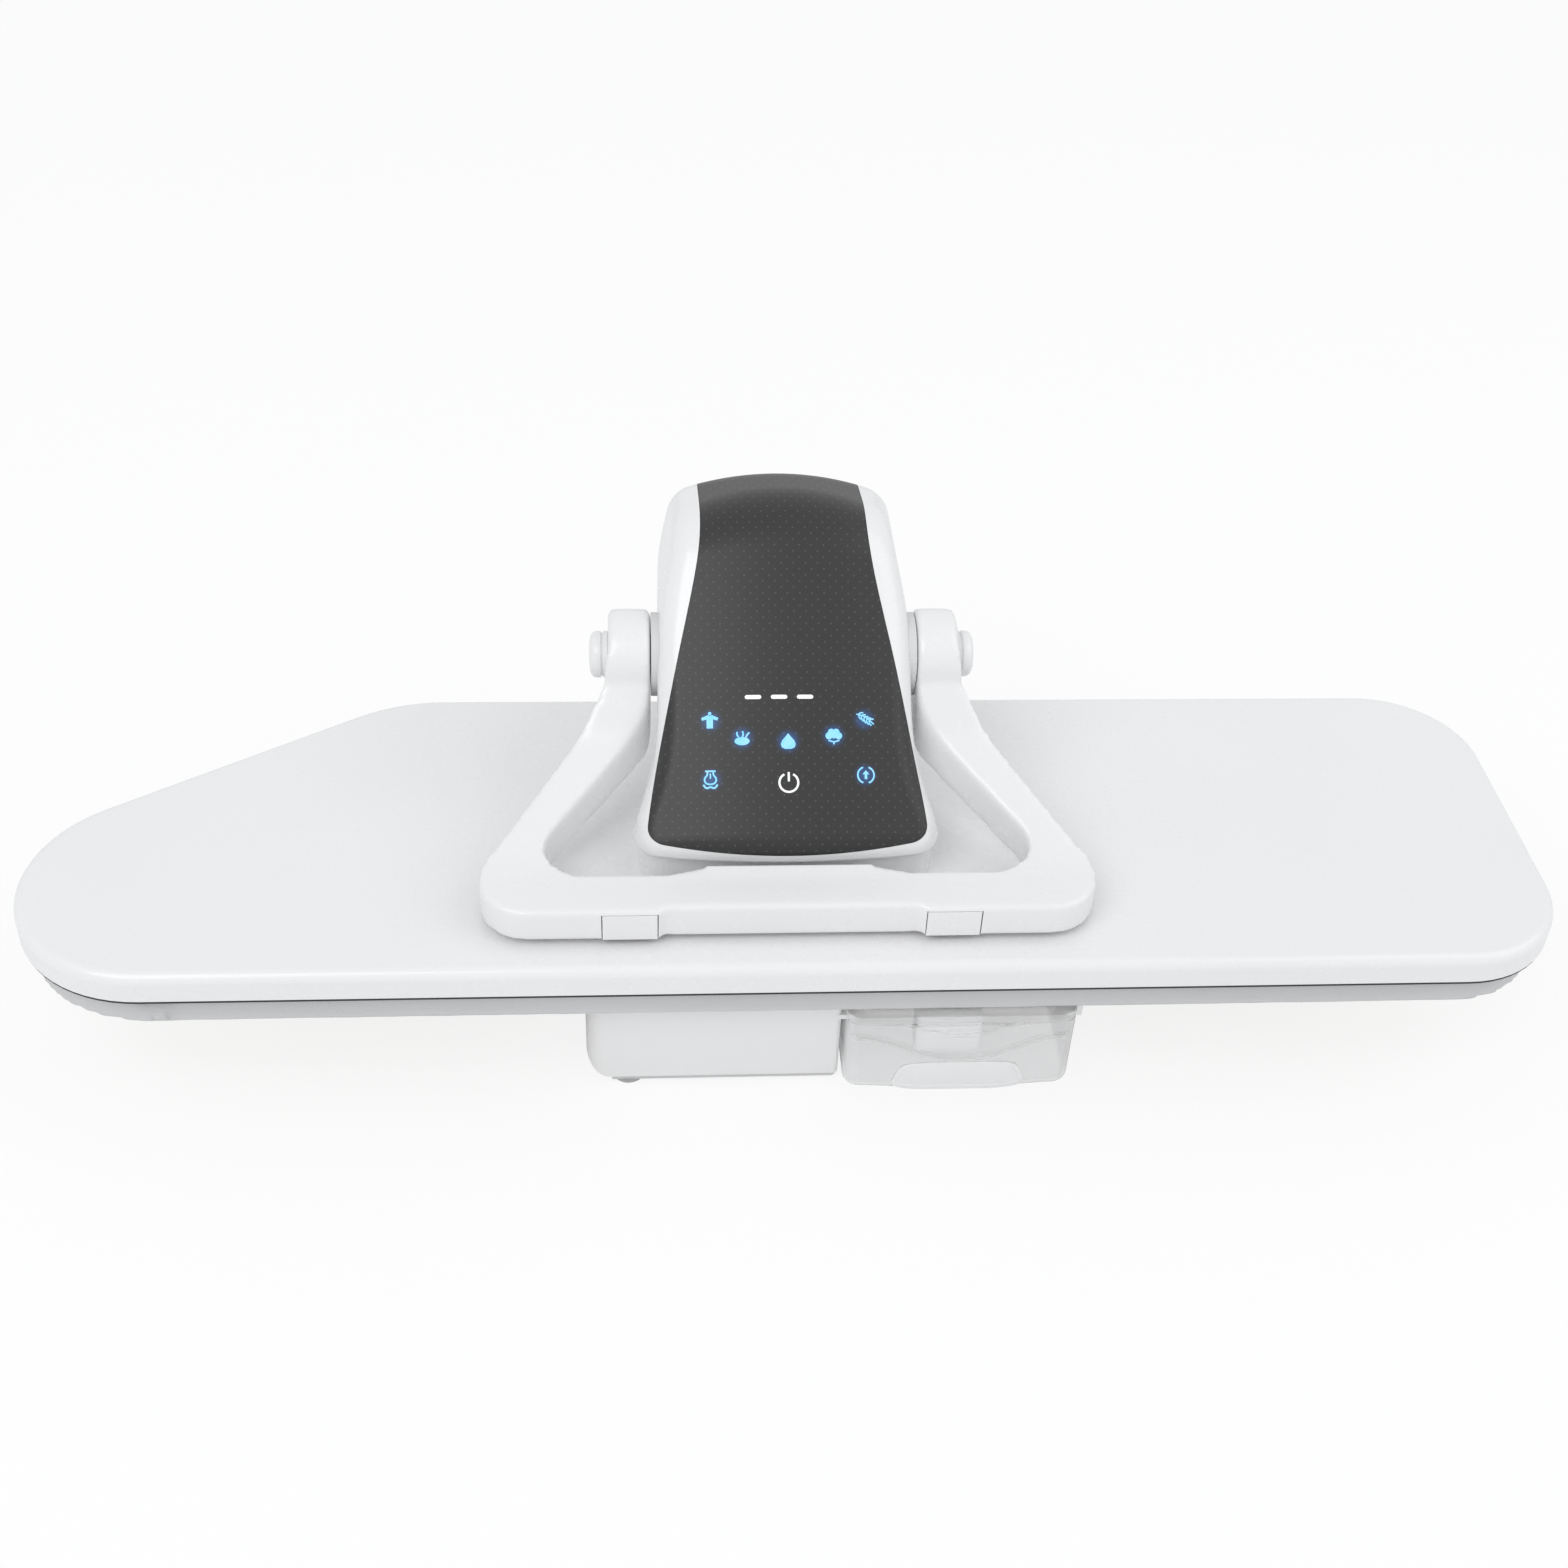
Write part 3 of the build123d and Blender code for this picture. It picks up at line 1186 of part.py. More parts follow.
def neck():
    """The cover that wraps the arm where it meets the hinge."""
    x0 = head_mid_x - neck_half
    x1 = head_mid_x + neck_half
    top = cover_top_z + neck_notch_lift - seat_gap
    front = housing_rear_y - barrel_radius / 2

    def form(inset, reach):
        view = [(front - reach, hinge_z + inset), (front - reach, top - inset),
                (housing_rear_y - inset, top - inset),
                (hinge_y + barrel_radius - inset, hinge_z + barrel_radius / 2),
                (hinge_y + barrel_radius - inset, hinge_z)]
        return side_plate(view, x0, x1) + rod(barrel_radius - inset, x0, x1, hinge_y, hinge_z)

    cover = form(0.0, 0.0) - form(barrel_wall, barrel_radius)
    diag = hinge_eye_radius * math.sqrt(0.5)
    cover -= block(x0 - cut_over, x1 + cut_over, front - cut_over, hinge_y - diag + cut_over,
                   hinge_z - diag - cut_over, cover_top_z + 2 * arm_foot_thick)
    keep("neck_cover", cover)


def tank_lid_z():
    """The height of the tank lid's top face, under the bay's roof and the cap."""
    return board_bottom_z - bay_roof_thick - tank_top_gap - cap_height


def tank_plan(inset, side_inset, bulge, dish):
    """The tank's plan: a rounded box whose front swells in the middle."""
    left = tank_left_x + inset + side_inset
    right = tank_right_x - inset - side_inset
    front = tank_front_y + inset + dish
    rear = tank_rear_y - inset
    middle = (left + right) / 2
    half = min(grip_width / 2, (right - left) / 2 - tank_corner_radius)
    with BuildLine() as line:
        Polyline((middle - half, front), (left, front), (left, rear), (right, rear), (right, front),
                 (middle + half, front))
        if bulge == 0:
            Line((middle - half, front), (middle + half, front))
        else:
            ThreePointArc((middle - half, front), (middle, front - bulge), (middle + half, front))
    face = make_face(line.line)
    corners = [v for v in face.vertices() if abs(v.X - middle) > half + cut_over]
    return fillet(corners, tank_corner_radius - inset)


def tank_slab(z0, z1, inset=0.0, side_inset=0.0, bulge=0.0, dish=0.0):
    """A plate of the tank's plan."""
    return Pos(0, 0, z0) * extrude(tank_plan(inset, side_inset, bulge, dish), z1 - z0)


def tank():
    """The clear water tank with its lid, filler cap, seal and outlet."""
    lid_top = tank_lid_z()
    lid_z = lid_top - tank_flange_height
    shoulder_z = lid_z - rail_thick - 2 * run_gap
    grip_z = tank_bottom_z + grip_height
    neck_inset = tank_groove_depth
    body = tank_slab(tank_bottom_z, grip_z, bulge=grip_bulge)
    body = fillet(body.faces().sort_by(Axis.Z)[0].edges(), tank_wall)
    body += tank_slab(grip_z - seat_gap, shoulder_z, bulge=-grip_dish)
    body += tank_slab(shoulder_z - seat_gap, lid_z, side_inset=neck_inset)
    body -= tank_slab(tank_bottom_z + tank_wall, shoulder_z - tank_wall, inset=tank_wall, dish=grip_dish)
    body -= tank_slab(shoulder_z - 2 * tank_wall, lid_z + cut_over, inset=tank_wall, side_inset=neck_inset,
                      dish=grip_dish)
    body -= bolt_y(outlet_radius + seat_gap, tank_rear_y - 2 * tank_wall, tank_rear_y + cut_over,
                   outlet_x, outlet_z)
    keep("tank_body", body)

    lid = tank_slab(lid_z, lid_top)
    lid -= tank_slab(lid_z - cut_over, lid_top - tank_wall, inset=2 * tank_wall, side_inset=neck_inset,
                     dish=grip_dish)
    lid += post(cap_radius, lid_z, lid_top, cap_x, cap_y)
    lid -= post(cap_neck_radius + run_gap, lid_z - cut_over, lid_top + cut_over, cap_x, cap_y)
    keep("tank_lid", lid)

    seal_top = lid_top + cap_seal_thick
    seal = post(cap_radius - cut_over, lid_top + seat_gap, seal_top, cap_x, cap_y)
    keep("cap_seal", seal - post(cap_neck_radius + seat_gap, lid_top - cut_over, seal_top + cut_over,
                                 cap_x, cap_y))
    rib_z = lid_top + cap_height - (cap_height - cap_seal_thick) / 2
    cap = post(cap_radius, seal_top, rib_z, cap_x, cap_y)
    cap += post(cap_neck_radius, lid_top - cap_neck_depth, seal_top, cap_x, cap_y)
    cap -= post(cap_neck_radius - tank_wall, lid_top - cap_neck_depth - cut_over, seal_top, cap_x, cap_y)
    reach = cap_radius - cap_rib_thick
    cap += block(cap_x - reach, cap_x + reach, cap_y - cap_rib_thick / 2, cap_y + cap_rib_thick / 2,
                 rib_z, lid_top + cap_height)
    keep("tank_cap", cap)

    outlet = bolt_y(outlet_radius, tank_rear_y - tank_wall, tank_rear_y + outlet_reach, outlet_x, outlet_z)
    outlet += bolt_y(outlet_radius + tank_wall, tank_rear_y - 2 * tank_wall, tank_rear_y - tank_wall,
                     outlet_x, outlet_z)
    outlet -= bolt_y(outlet_bore, tank_rear_y - 3 * tank_wall, tank_rear_y + outlet_reach + cut_over,
                     outlet_x, outlet_z)
    keep("tank_outlet", outlet)

    seat_y = base_front_y + bay_depth
    seat = bolt_y(seat_ring_radius, seat_y, seat_y + seat_length, outlet_x, outlet_z)
    seat -= bolt_y(outlet_radius + run_gap, seat_y - cut_over, tank_rear_y + outlet_reach + cut_over,
                   outlet_x, outlet_z)
    seat -= bolt_y(hose_bore, seat_y, seat_y + seat_length + cut_over, outlet_x, outlet_z)
    keep("tank_seat", seat)


def hose(points, bend, z):
    """A hose that lies level at one height."""
    path = Pos(0, 0, z) * FilletPolyline(*points, radius=bend)
    ring = Circle(hose_radius) - Circle(hose_bore)
    return sweep(Plane(origin=path @ 0, z_dir=path % 0) * ring, path=path)


def water_works():
    """The pump on its rubber blocks, its hoses and the riser to the column."""
    half = pump_coil / 2
    back = pump_y + pump_length / 2
    front = pump_y - pump_length / 2
    pump = bolt_y(pump_radius, front, back, pump_x, pump_z)
    pump += block(pump_x - half, pump_x + half, pump_y - half, pump_y + half, pump_z - half, pump_z + half)
    pump += bolt_y(pump_nozzle_radius, front - pump_nozzle_length, back + pump_nozzle_length, pump_x, pump_z)
    keep("pump", pump)
    blocks = [block(pump_x - half, pump_x + half, y - mount_block / 2, y + mount_block / 2, base_floor_z,
                    pump_z - half) for y in (pump_y - half + mount_block / 2,
                                             pump_y + half - mount_block / 2)]
    keep("pump_mounts", *blocks)

    start = base_front_y + bay_depth + seat_length
    inlet = back + pump_nozzle_length
    run = inlet + hose_bend + hose_radius
    supply = [(outlet_x, start), (outlet_x, run), (pump_x, run), (pump_x, inlet)]
    keep("water_hose", hose(supply, hose_bend, pump_z))
    outlet = front - pump_nozzle_length
    lane_x = pump_x - 2 * hose_bend - cut_over
    turn_y = outlet - hose_bend - cut_over
    cross_y = power_board_y + power_board_depth / 2 + 3 * hose_radius
    feed = [(pump_x, outlet), (pump_x, turn_y), (lane_x, turn_y), (lane_x, cross_y), (riser_x, cross_y),
            (riser_x, riser_y - riser_radius)]
    keep("feed_hose", hose(feed, hose_bend, pump_z))
    riser = post(riser_radius, base_floor_z, board_bottom_z - base_wall, riser_x, riser_y)
    riser -= bolt_y(hose_bore, riser_y - 2 * riser_radius, riser_y, riser_x, pump_z)
    riser -= post(hose_bore, pump_z, board_bottom_z, riser_x, riser_y)
    keep("steam_riser", riser)


def electrics():
    """The power board with its parts and posts, and the cord's inlet gland."""
    z = base_floor_z + power_board_lift
    x0 = power_board_x - power_board_width / 2
    y0 = power_board_y - power_board_depth / 2
    x1 = x0 + power_board_width
    y1 = y0 + power_board_depth
    board = block(x0, x1, y0, y1, z, z + pcb_thick)
    top = z + pcb_thick
    relay = power_board_width * relay_share
    for i in range(relay_count):
        relay_y = y0 + relay_margin + i * (relay + relay_margin)
        board += block(x0 + relay_margin, x0 + relay_margin + relay, relay_y, relay_y + relay, top,
                       top + relay)
    board += post(relay / 2, top, top + 2 * relay, x1 - relay, y0 + relay)
    board += block(x1 - relay, x1 - relay_margin, y1 - 2 * relay, y1 - relay_margin, top, top + relay)
    keep("power_board", board)
    inset = 2 * pcb_post_radius
    posts = [post(pcb_post_radius, base_floor_z, z, x, y) for x in (x0 + inset, x1 - inset)
             for y in (y0 + inset, y1 - inset)]
    keep("board_posts", *posts)

    gland = bolt_y(gland_radius, base_rear_y - gland_length / 2, base_rear_y + gland_flange, gland_x, gland_z)
    gland += bolt_y(gland_flange_radius, base_rear_y, base_rear_y + gland_flange, gland_x, gland_z)
    gland -= bolt_y(gland_bore, base_rear_y - gland_length, base_rear_y + gland_length, gland_x, gland_z)
    keep("cord_gland", gland)


def build():
    """Model every sub-part and write it, with the frame's origin under the middle of the part."""
    lower_board()
    pedestal()
    hinge()
    column_covers()
    lift_arm()
    cover_and_frame()
    heating_plate()
    pressure_parts()
    handle()
    housing()
    neck()
    tank()
    water_works()
    electrics()
    os.makedirs("parts", exist_ok=True)
    middle_y = (column_rear_y - cover_depth / 2) / 2
    for name, shape in nodes.items():
        placed = Pos(0, -middle_y, 0) * shape
        export_step(placed, "parts/" + name + ".step")
        print(name, len(shape.solids()), round(shape.volume))


build()
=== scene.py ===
# %% [markdown]
# A steam ironing press, dressed for its portrait.
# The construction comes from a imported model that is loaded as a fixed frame, in metres, with the
# origin under the middle of the press. This script only adds the looks: the finish of each moulded,
# pressed or woven surface, and the pieces whose soft shapes are easier to model as meshes.

# %% Load the frame
import math

import bmesh
import bpy
from mathutils import Matrix, Vector
from mathutils import noise as noise_mod
from mathutils.bvhtree import BVHTree
from mathutils.geometry import intersect_point_line


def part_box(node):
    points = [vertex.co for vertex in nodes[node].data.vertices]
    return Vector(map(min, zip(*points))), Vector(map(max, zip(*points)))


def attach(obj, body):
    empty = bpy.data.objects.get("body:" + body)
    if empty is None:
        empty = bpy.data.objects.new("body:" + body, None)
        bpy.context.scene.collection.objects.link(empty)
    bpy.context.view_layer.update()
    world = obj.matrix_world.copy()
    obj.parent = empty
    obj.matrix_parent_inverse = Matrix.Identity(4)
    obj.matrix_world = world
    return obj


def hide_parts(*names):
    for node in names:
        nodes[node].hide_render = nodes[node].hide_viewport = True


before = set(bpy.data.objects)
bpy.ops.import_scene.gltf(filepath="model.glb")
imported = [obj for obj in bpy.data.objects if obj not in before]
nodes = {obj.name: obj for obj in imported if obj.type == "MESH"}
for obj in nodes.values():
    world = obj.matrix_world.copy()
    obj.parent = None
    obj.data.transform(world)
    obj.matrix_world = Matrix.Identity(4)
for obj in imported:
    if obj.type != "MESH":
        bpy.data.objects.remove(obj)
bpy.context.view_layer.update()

# %% [markdown]
# The camera stands a little left of the middle and 0.8 m above the table, and looks down at the
# press, rolled by a few degrees. Its focal length is known in the picture's own pixels, so the
# lens's millimetres are worked out from the picture's width.

# %% Camera
camera_place = Vector((-0.08913, -0.88855, 0.82181))
camera_tilt = math.radians(38.59)
camera_turn = math.radians(5.47)
camera_roll = math.radians(2.99)
picture_width = 1568
focal_pixels = 2000

lens = bpy.data.cameras.new("camera")
lens.sensor_width = 36
lens.lens = lens.sensor_width * focal_pixels / picture_width
lens.clip_start = 0.01
lens.clip_end = 60
camera = bpy.data.objects.new("camera", lens)
turn = Matrix.Rotation(-camera_turn, 4, "Z")
tilt = Matrix.Rotation(math.radians(90) - camera_tilt, 4, "X")
roll = Matrix.Rotation(camera_roll, 4, "Z")
camera.matrix_world = Matrix.Translation(camera_place) @ turn @ tilt @ roll
bpy.context.scene.collection.objects.link(camera)
bpy.context.scene.camera = camera
print("lens", round(lens.lens, 1), "mm")

# %% [markdown]
# White goods on a white ground need light from everywhere, with only a little more from one side so
# that edges still read. The world gives the even part, and two large lamps shape it. What the camera
# and the reflections see as the world is plain white, and the floor is drawn partly as plain white
# too, so it stays pale while it still keeps the soft shadow under the press.

# %% Studio
world_light = 0.70
world_tint = (0.97, 0.985, 1.0, 1)
floor_tone = (0.96, 0.96, 0.96, 1)
floor_reach = 9
shadow_share = 0.16
lamp_aim = Vector((0, 0, 0.1))
soft_boxes = {"key": ((-1.3, -1.5, 2.4), 1.8, 25.0), "fill": ((1.8, -0.4, 1.9), 2.0, 12.0)}


def maths(tree, operation, first, second):
    """A Math node's result. Each input is another node's output or a plain number."""
    node = tree.nodes.new("ShaderNodeMath")
    node.operation = operation
    for socket, value in zip(node.inputs, (first, second)):
        if isinstance(value, (int, float)):
            socket.default_value = value
        else:
            tree.links.new(value, socket)
    return node.outputs[0]


def blended(tree, share, first, second, out):
    """Send two shaders to the output, the second one by its share."""
    mix = tree.nodes.new("ShaderNodeMixShader")
    tree.links.new(share, mix.inputs["Fac"])
    tree.links.new(first.outputs[0], mix.inputs[1])
    tree.links.new(second.outputs[0], mix.inputs[2])
    tree.links.new(mix.outputs[0], out.inputs["Surface"])


def studio_world():
    """A pale world that is white to the camera and in reflections, and softer as a light."""
    world = bpy.data.worlds.new("studio")
    bpy.context.scene.world = world
    world.use_nodes = True
    tree = world.node_tree
    tree.nodes.clear()
    path = tree.nodes.new("ShaderNodeLightPath").outputs
    light = tree.nodes.new("ShaderNodeBackground")
    light.inputs["Color"].default_value = world_tint
    light.inputs["Strength"].default_value = world_light
    sight = tree.nodes.new("ShaderNodeBackground")
    sight.inputs["Color"].default_value = (1, 1, 1, 1)
    seen = maths(tree, "MAXIMUM", path["Is Camera Ray"], path["Is Glossy Ray"])
    seen = maths(tree, "MAXIMUM", seen, path["Is Transmission Ray"])
    blended(tree, seen, light, sight, tree.nodes.new("ShaderNodeOutputWorld"))


def studio_floor():
    """A wide pale floor at table height, which keeps the press's soft shadow."""
    mesh = bpy.data.meshes.new("floor")
    shape = bmesh.new()
    bmesh.ops.create_grid(shape, x_segments=1, y_segments=1, size=floor_reach)
    shape.to_mesh(mesh)
    shape.free()
    floor = bpy.data.objects.new("floor", mesh)
    bpy.context.scene.collection.objects.link(floor)
    finish = bpy.data.materials.new("floor_paper")
    finish.use_nodes = True
    tree = finish.node_tree
    tree.nodes.clear()
    path = tree.nodes.new("ShaderNodeLightPath").outputs
    paper = tree.nodes.new("ShaderNodeBsdfDiffuse")
    paper.inputs["Color"].default_value = floor_tone
    white = tree.nodes.new("ShaderNodeEmission")
    plain = maths(tree, "MULTIPLY", path["Is Camera Ray"], 1 - shadow_share)
    blended(tree, plain, paper, white, tree.nodes.new("ShaderNodeOutputMaterial"))
    mesh.materials.append(finish)


def studio_lamp(name, place, size, watts):
    """A square soft box that looks at the press."""
    data = bpy.data.lights.new(name, "AREA")
    data.shape = "SQUARE"
    data.size = size
    data.energy = watts
    lamp = bpy.data.objects.new(name, data)
    lamp.location = place
    lamp.rotation_euler = (lamp_aim - Vector(place)).to_track_quat("-Z", "Y").to_euler()
    bpy.context.scene.collection.objects.link(lamp)


studio_world()
studio_floor()
for name, (place, size, watts) in soft_boxes.items():
    studio_lamp(name, place, size, watts)
bpy.context.scene.view_settings.view_transform = "Standard"
print("studio ready with", len(soft_boxes), "lamps")

# %% [markdown]
# Every finish starts the same way: one Principled shader whose colour, roughness and bump come from
# a few noise patterns at the scale of the real surface. The helpers below build those ingredients.

# %% Helpers for finishes
finishes = {}


def finish_sheet(name, color, roughness, metallic=0.0):
    """A new material: its node tree, its Principled shader and the place on the object."""
    material = bpy.data.materials.new(name)
    material.use_nodes = True
    tree = material.node_tree
    shader = tree.nodes["Principled BSDF"]
    shader.inputs["Base Color"].default_value = (*color, 1)
    shader.inputs["Roughness"].default_value = roughness
    shader.inputs["Metallic"].default_value = metallic
    finishes[name] = material
    return tree, shader, tree.nodes.new("ShaderNodeTexCoord").outputs["Object"]


def cloudy(tree, place, scale, detail=3.0):
    """A noise pattern, scale is in spots to a metre."""
    noise = tree.nodes.new("ShaderNodeTexNoise")
    noise.inputs["Scale"].default_value = scale
    noise.inputs["Detail"].default_value = detail
    tree.links.new(place, noise.inputs["Vector"])
    return noise.outputs["Fac"]


def tinted(tree, pattern, dark, light, socket):
    """Let a pattern move a colour between two near tones."""
    tones = tree.nodes.new("ShaderNodeMix")
    tones.data_type = "RGBA"
    tones.inputs["A"].default_value = (*dark, 1)
    tones.inputs["B"].default_value = (*light, 1)
    tree.links.new(pattern, tones.inputs["Factor"])
    tree.links.new(tones.outputs["Result"], socket)


def spanned(tree, pattern, low, high):
    """Stretch a pattern from 0 to 1 so that it runs between two values."""
    span = tree.nodes.new("ShaderNodeMapRange")
    span.inputs["To Min"].default_value = low
    span.inputs["To Max"].default_value = high
    tree.links.new(pattern, span.inputs["Value"])
    return span.outputs["Result"]


def embossed(tree, shader, pattern, depth, strength):
    """Raise the surface by a pattern, depth is in metres."""
    bump = tree.nodes.new("ShaderNodeBump")
    bump.inputs["Distance"].default_value = depth
    bump.inputs["Strength"].default_value = strength
    tree.links.new(pattern, bump.inputs["Height"])
    tree.links.new(bump.outputs["Normal"], shader.inputs["Normal"])


print("helpers ready")

# %% [markdown]
# The casing is white gloss ABS. Moulded plastic isn't a flat white: it has a slight orange peel, its
# gloss wanders a little, and the tone drifts over a large part. A thin clear coat gives the crisp
# highlight that a polished mould leaves. Paint, rubber and fibreboard are uneven in the same way, so
# they share the function.

# %% Moulded plastics
plastic_ior = 1.49


def moulded_plastic(name, color, gloss, peel_depth):
    """A moulded plastic with orange peel and a drifting tone."""
    tree, shader, place = finish_sheet(name, color, gloss)
    dark, light = [c * 0.975 for c in color], [min(1, c * 1.02) for c in color]
    tinted(tree, cloudy(tree, place, 9), dark, light, shader.inputs["Base Color"])
    wander = spanned(tree, cloudy(tree, place, 60), gloss - 0.04, gloss + 0.06)
    tree.links.new(wander, shader.inputs["Roughness"])
    embossed(tree, shader, cloudy(tree, place, 420, 1.0), peel_depth, 0.35)
    shader.inputs["IOR"].default_value = plastic_ior
    return shader


white = moulded_plastic("casing_white", (0.84, 0.84, 0.843), 0.26, 0.00006)
white.inputs["Coat Weight"].default_value = 0.25
white.inputs["Coat Roughness"].default_value = 0.08
moulded_plastic("pedestal_white", (0.84, 0.84, 0.84), 0.42, 0.00010)
moulded_plastic("collar_white", (0.68, 0.68, 0.682), 0.45, 0.00008)
moulded_plastic("foot_rubber", (0.42, 0.42, 0.42), 0.75, 0.00020)
moulded_plastic("mechanism_grey", (0.32, 0.32, 0.33), 0.50, 0.00010)
moulded_plastic("insulation_black", (0.035, 0.035, 0.037), 0.60, 0.00015)
moulded_plastic("painted_steel", (0.62, 0.62, 0.62), 0.38, 0.00008)
moulded_plastic("rubber", (0.028, 0.028, 0.029), 0.72, 0.00025)
moulded_plastic("fibreboard", (0.30, 0.21, 0.13), 0.85, 0.0004)
moulded_plastic("circuit_green", (0.02, 0.12, 0.055), 0.45, 0.00005)
moulded_plastic("light_guide", (0.62, 0.76, 0.84), 0.20, 0.00003)
print("moulded finishes", sorted(finishes))

# %% [markdown]
# The control panel is a smoked sheet, printed from behind with rows of fine dots that are set like
# bricks. The pattern is drawn in the panel's own plane: a Mapping node tips the coordinates by the
# slope's 45 degrees, and two grids of dots, half a step apart, make the brick rows.

# %% Dots of the panel
dot_pitch = 0.0066
dot_radius_share = 0.085


def dot_grid(tree, plane, offset):
    """One square grid of dots: 1 near the middle of each cell of the plane, and 0 elsewhere."""
    for operation, *values in (("MULTIPLY_ADD", (1 / dot_pitch, 1 / dot_pitch, 0), (offset, offset, 0)),
                               ("FRACTION",), ("SUBTRACT", (0.5, 0.5, 0)), ("LENGTH",)):
        node = tree.nodes.new("ShaderNodeVectorMath")
        node.operation = operation
        for socket, value in zip(node.inputs[1:], values):
            socket.default_value = value
        tree.links.new(plane, node.inputs[0])
        plane = node.outputs[0]
    return maths(tree, "LESS_THAN", node.outputs["Value"], dot_radius_share)


print("panel dots every", dot_pitch * 1000, "mm")

# %% [markdown]
# Each blue sign spills a little light into the film round it. That glow fades with the distance from
# the sign, so the signs' places on the slope are settled here, in mm across and up from the slope's
# foot, before the signs themselves are drawn.

# %% Panel finish
panel_dark = (0.017, 0.017, 0.0173)
panel_dot = (0.050, 0.050, 0.051)
glow_blue = (0.02, 0.30, 1.0)
glow_reach = 0.0085
glow_strength = 0.30
slope_angle = math.radians(45)
slope_across = Vector((1, 0, 0))
slope_up = Vector((0, math.sqrt(0.5), math.sqrt(0.5)))
slope_out = Vector((0, -math.sqrt(0.5), math.sqrt(0.5)))
slope_foot = Vector((-0.0075, -0.08675, 0.1367))
blue_places = {"shirt_sign": (-41.5, 67.5), "cocoon_sign": (-24.5, 58.0), "fleece_sign": (0.0, 56.0),
               "boll_sign": (24.5, 59.0), "leaf_sign": (41.5, 68.0), "steam_sign": (-41.5, 36.0),
               "sound_sign": (41.5, 38.0)}


def slope_point(u, v):
    """The point of the panel's slope at (u, v) mm from its foot."""
    return slope_foot + slope_across * (u / 1000) + slope_up * (v / 1000)


def sign_glow(tree, place):
    """The light that the blue signs spill into the film, from 0 to the glow's strength."""
    total = 0.0
    for u, v in blue_places.values():
        apart = tree.nodes.new("ShaderNodeVectorMath")
        apart.operation = "DISTANCE"
        apart.inputs[1].default_value = slope_point(u, v)
        tree.links.new(place, apart.inputs[0])
        fade = tree.nodes.new("ShaderNodeMapRange")
        fade.interpolation_type = "SMOOTHERSTEP"
        fade.inputs["From Max"].default_value = glow_reach
        fade.inputs["To Min"].default_value = glow_strength
        fade.inputs["To Max"].default_value = 0.0
        tree.links.new(apart.outputs["Value"], fade.inputs["Value"])
        total = maths(tree, "ADD", total, fade.outputs["Result"])
    return total


def panel_finish():
    """The smoked panel with its brick-set dots and the signs' glow."""
    tree, shader, place = finish_sheet("panel_smoke", panel_dark, 0.42)
    tip = tree.nodes.new("ShaderNodeMapping")
    tip.inputs["Rotation"].default_value = (-slope_angle, 0, 0)
    tree.links.new(place, tip.inputs["Vector"])
    plane = tip.outputs["Vector"]
    dots = maths(tree, "MAXIMUM", dot_grid(tree, plane, 0.0), dot_grid(tree, plane, 0.5))
    tinted(tree, dots, panel_dark, panel_dot, shader.inputs["Base Color"])
    shader.inputs["Coat Weight"].default_value = 0.12
    shader.inputs["Coat Roughness"].default_value = 0.25
    shader.inputs["IOR"].default_value = 1.45
    shader.inputs["Emission Color"].default_value = (*glow_blue, 1)
    tree.links.new(sign_glow(tree, place), shader.inputs["Emission Strength"])


panel_finish()
print("panel glows round", len(blue_places), "signs")

# %% [markdown]
# Metals keep the mark of how they were made, as fine lines along one axis. A noise that is stretched
# along that axis draws them.

# %% Metals


def brushed_metal(name, color, roughness, along):
    """A metal with fine lines, drawn out by a stretched noise."""
    tree, shader, place = finish_sheet(name, color, roughness, 1.0)
    stretch = tree.nodes.new("ShaderNodeMapping")
    stretch.inputs["Scale"].default_value = along
    tree.links.new(place, stretch.inputs["Vector"])
    lines = cloudy(tree, stretch.outputs["Vector"], 160, 4.0)
    dark, light = [c * 0.85 for c in color], [min(1, c * 1.1) for c in color]
    tinted(tree, lines, dark, light, shader.inputs["Base Color"])
    tree.links.new(spanned(tree, lines, roughness - 0.08, roughness + 0.12), shader.inputs["Roughness"])
    embossed(tree, shader, lines, 0.00004, 0.5)


brushed_metal("steel", (0.55, 0.55, 0.56), 0.34, (1, 1, 14))
brushed_metal("cast_aluminium", (0.70, 0.71, 0.72), 0.30, (14, 1, 1))
brushed_metal("heater_sheath", (0.30, 0.285, 0.27), 0.42, (1, 14, 1))
print("finishes so far", len(finishes))

# %% [markdown]
# The board's cloth is silvery and heat-proof, in a plain weave. Two sets of waves, crossed at right
# angles, make the threads, and a slow noise keeps its tone from being flat.

# %% Cloth of the board pad
thread_pitch = 0.0009
wave_period = 0.314


def woven_cloth():
    """Silvery heat-proof cloth in a plain weave."""
    tree, shader, place = finish_sheet("pad_cloth", (0.61, 0.61, 0.614), 0.62)
    threads = []
    for axis in ("X", "Y"):
        wave = tree.nodes.new("ShaderNodeTexWave")
        wave.bands_direction = axis
        wave.inputs["Scale"].default_value = wave_period / thread_pitch
        wave.inputs["Distortion"].default_value = 0.6
        tree.links.new(place, wave.inputs["Vector"])
        threads.append(wave.outputs["Fac"])
    creases = cloudy(tree, place, 14, 4.0)
    tinted(tree, creases, (0.58, 0.58, 0.584), (0.64, 0.64, 0.644), shader.inputs["Base Color"])
    embossed(tree, shader, maths(tree, "MULTIPLY", *threads), 0.00012, 0.6)
    shader.inputs["Sheen Weight"].default_value = 0.15
    shader.inputs["Sheen Roughness"].default_value = 0.4


woven_cloth()
print("cloth threads every", thread_pitch * 1000, "mm")

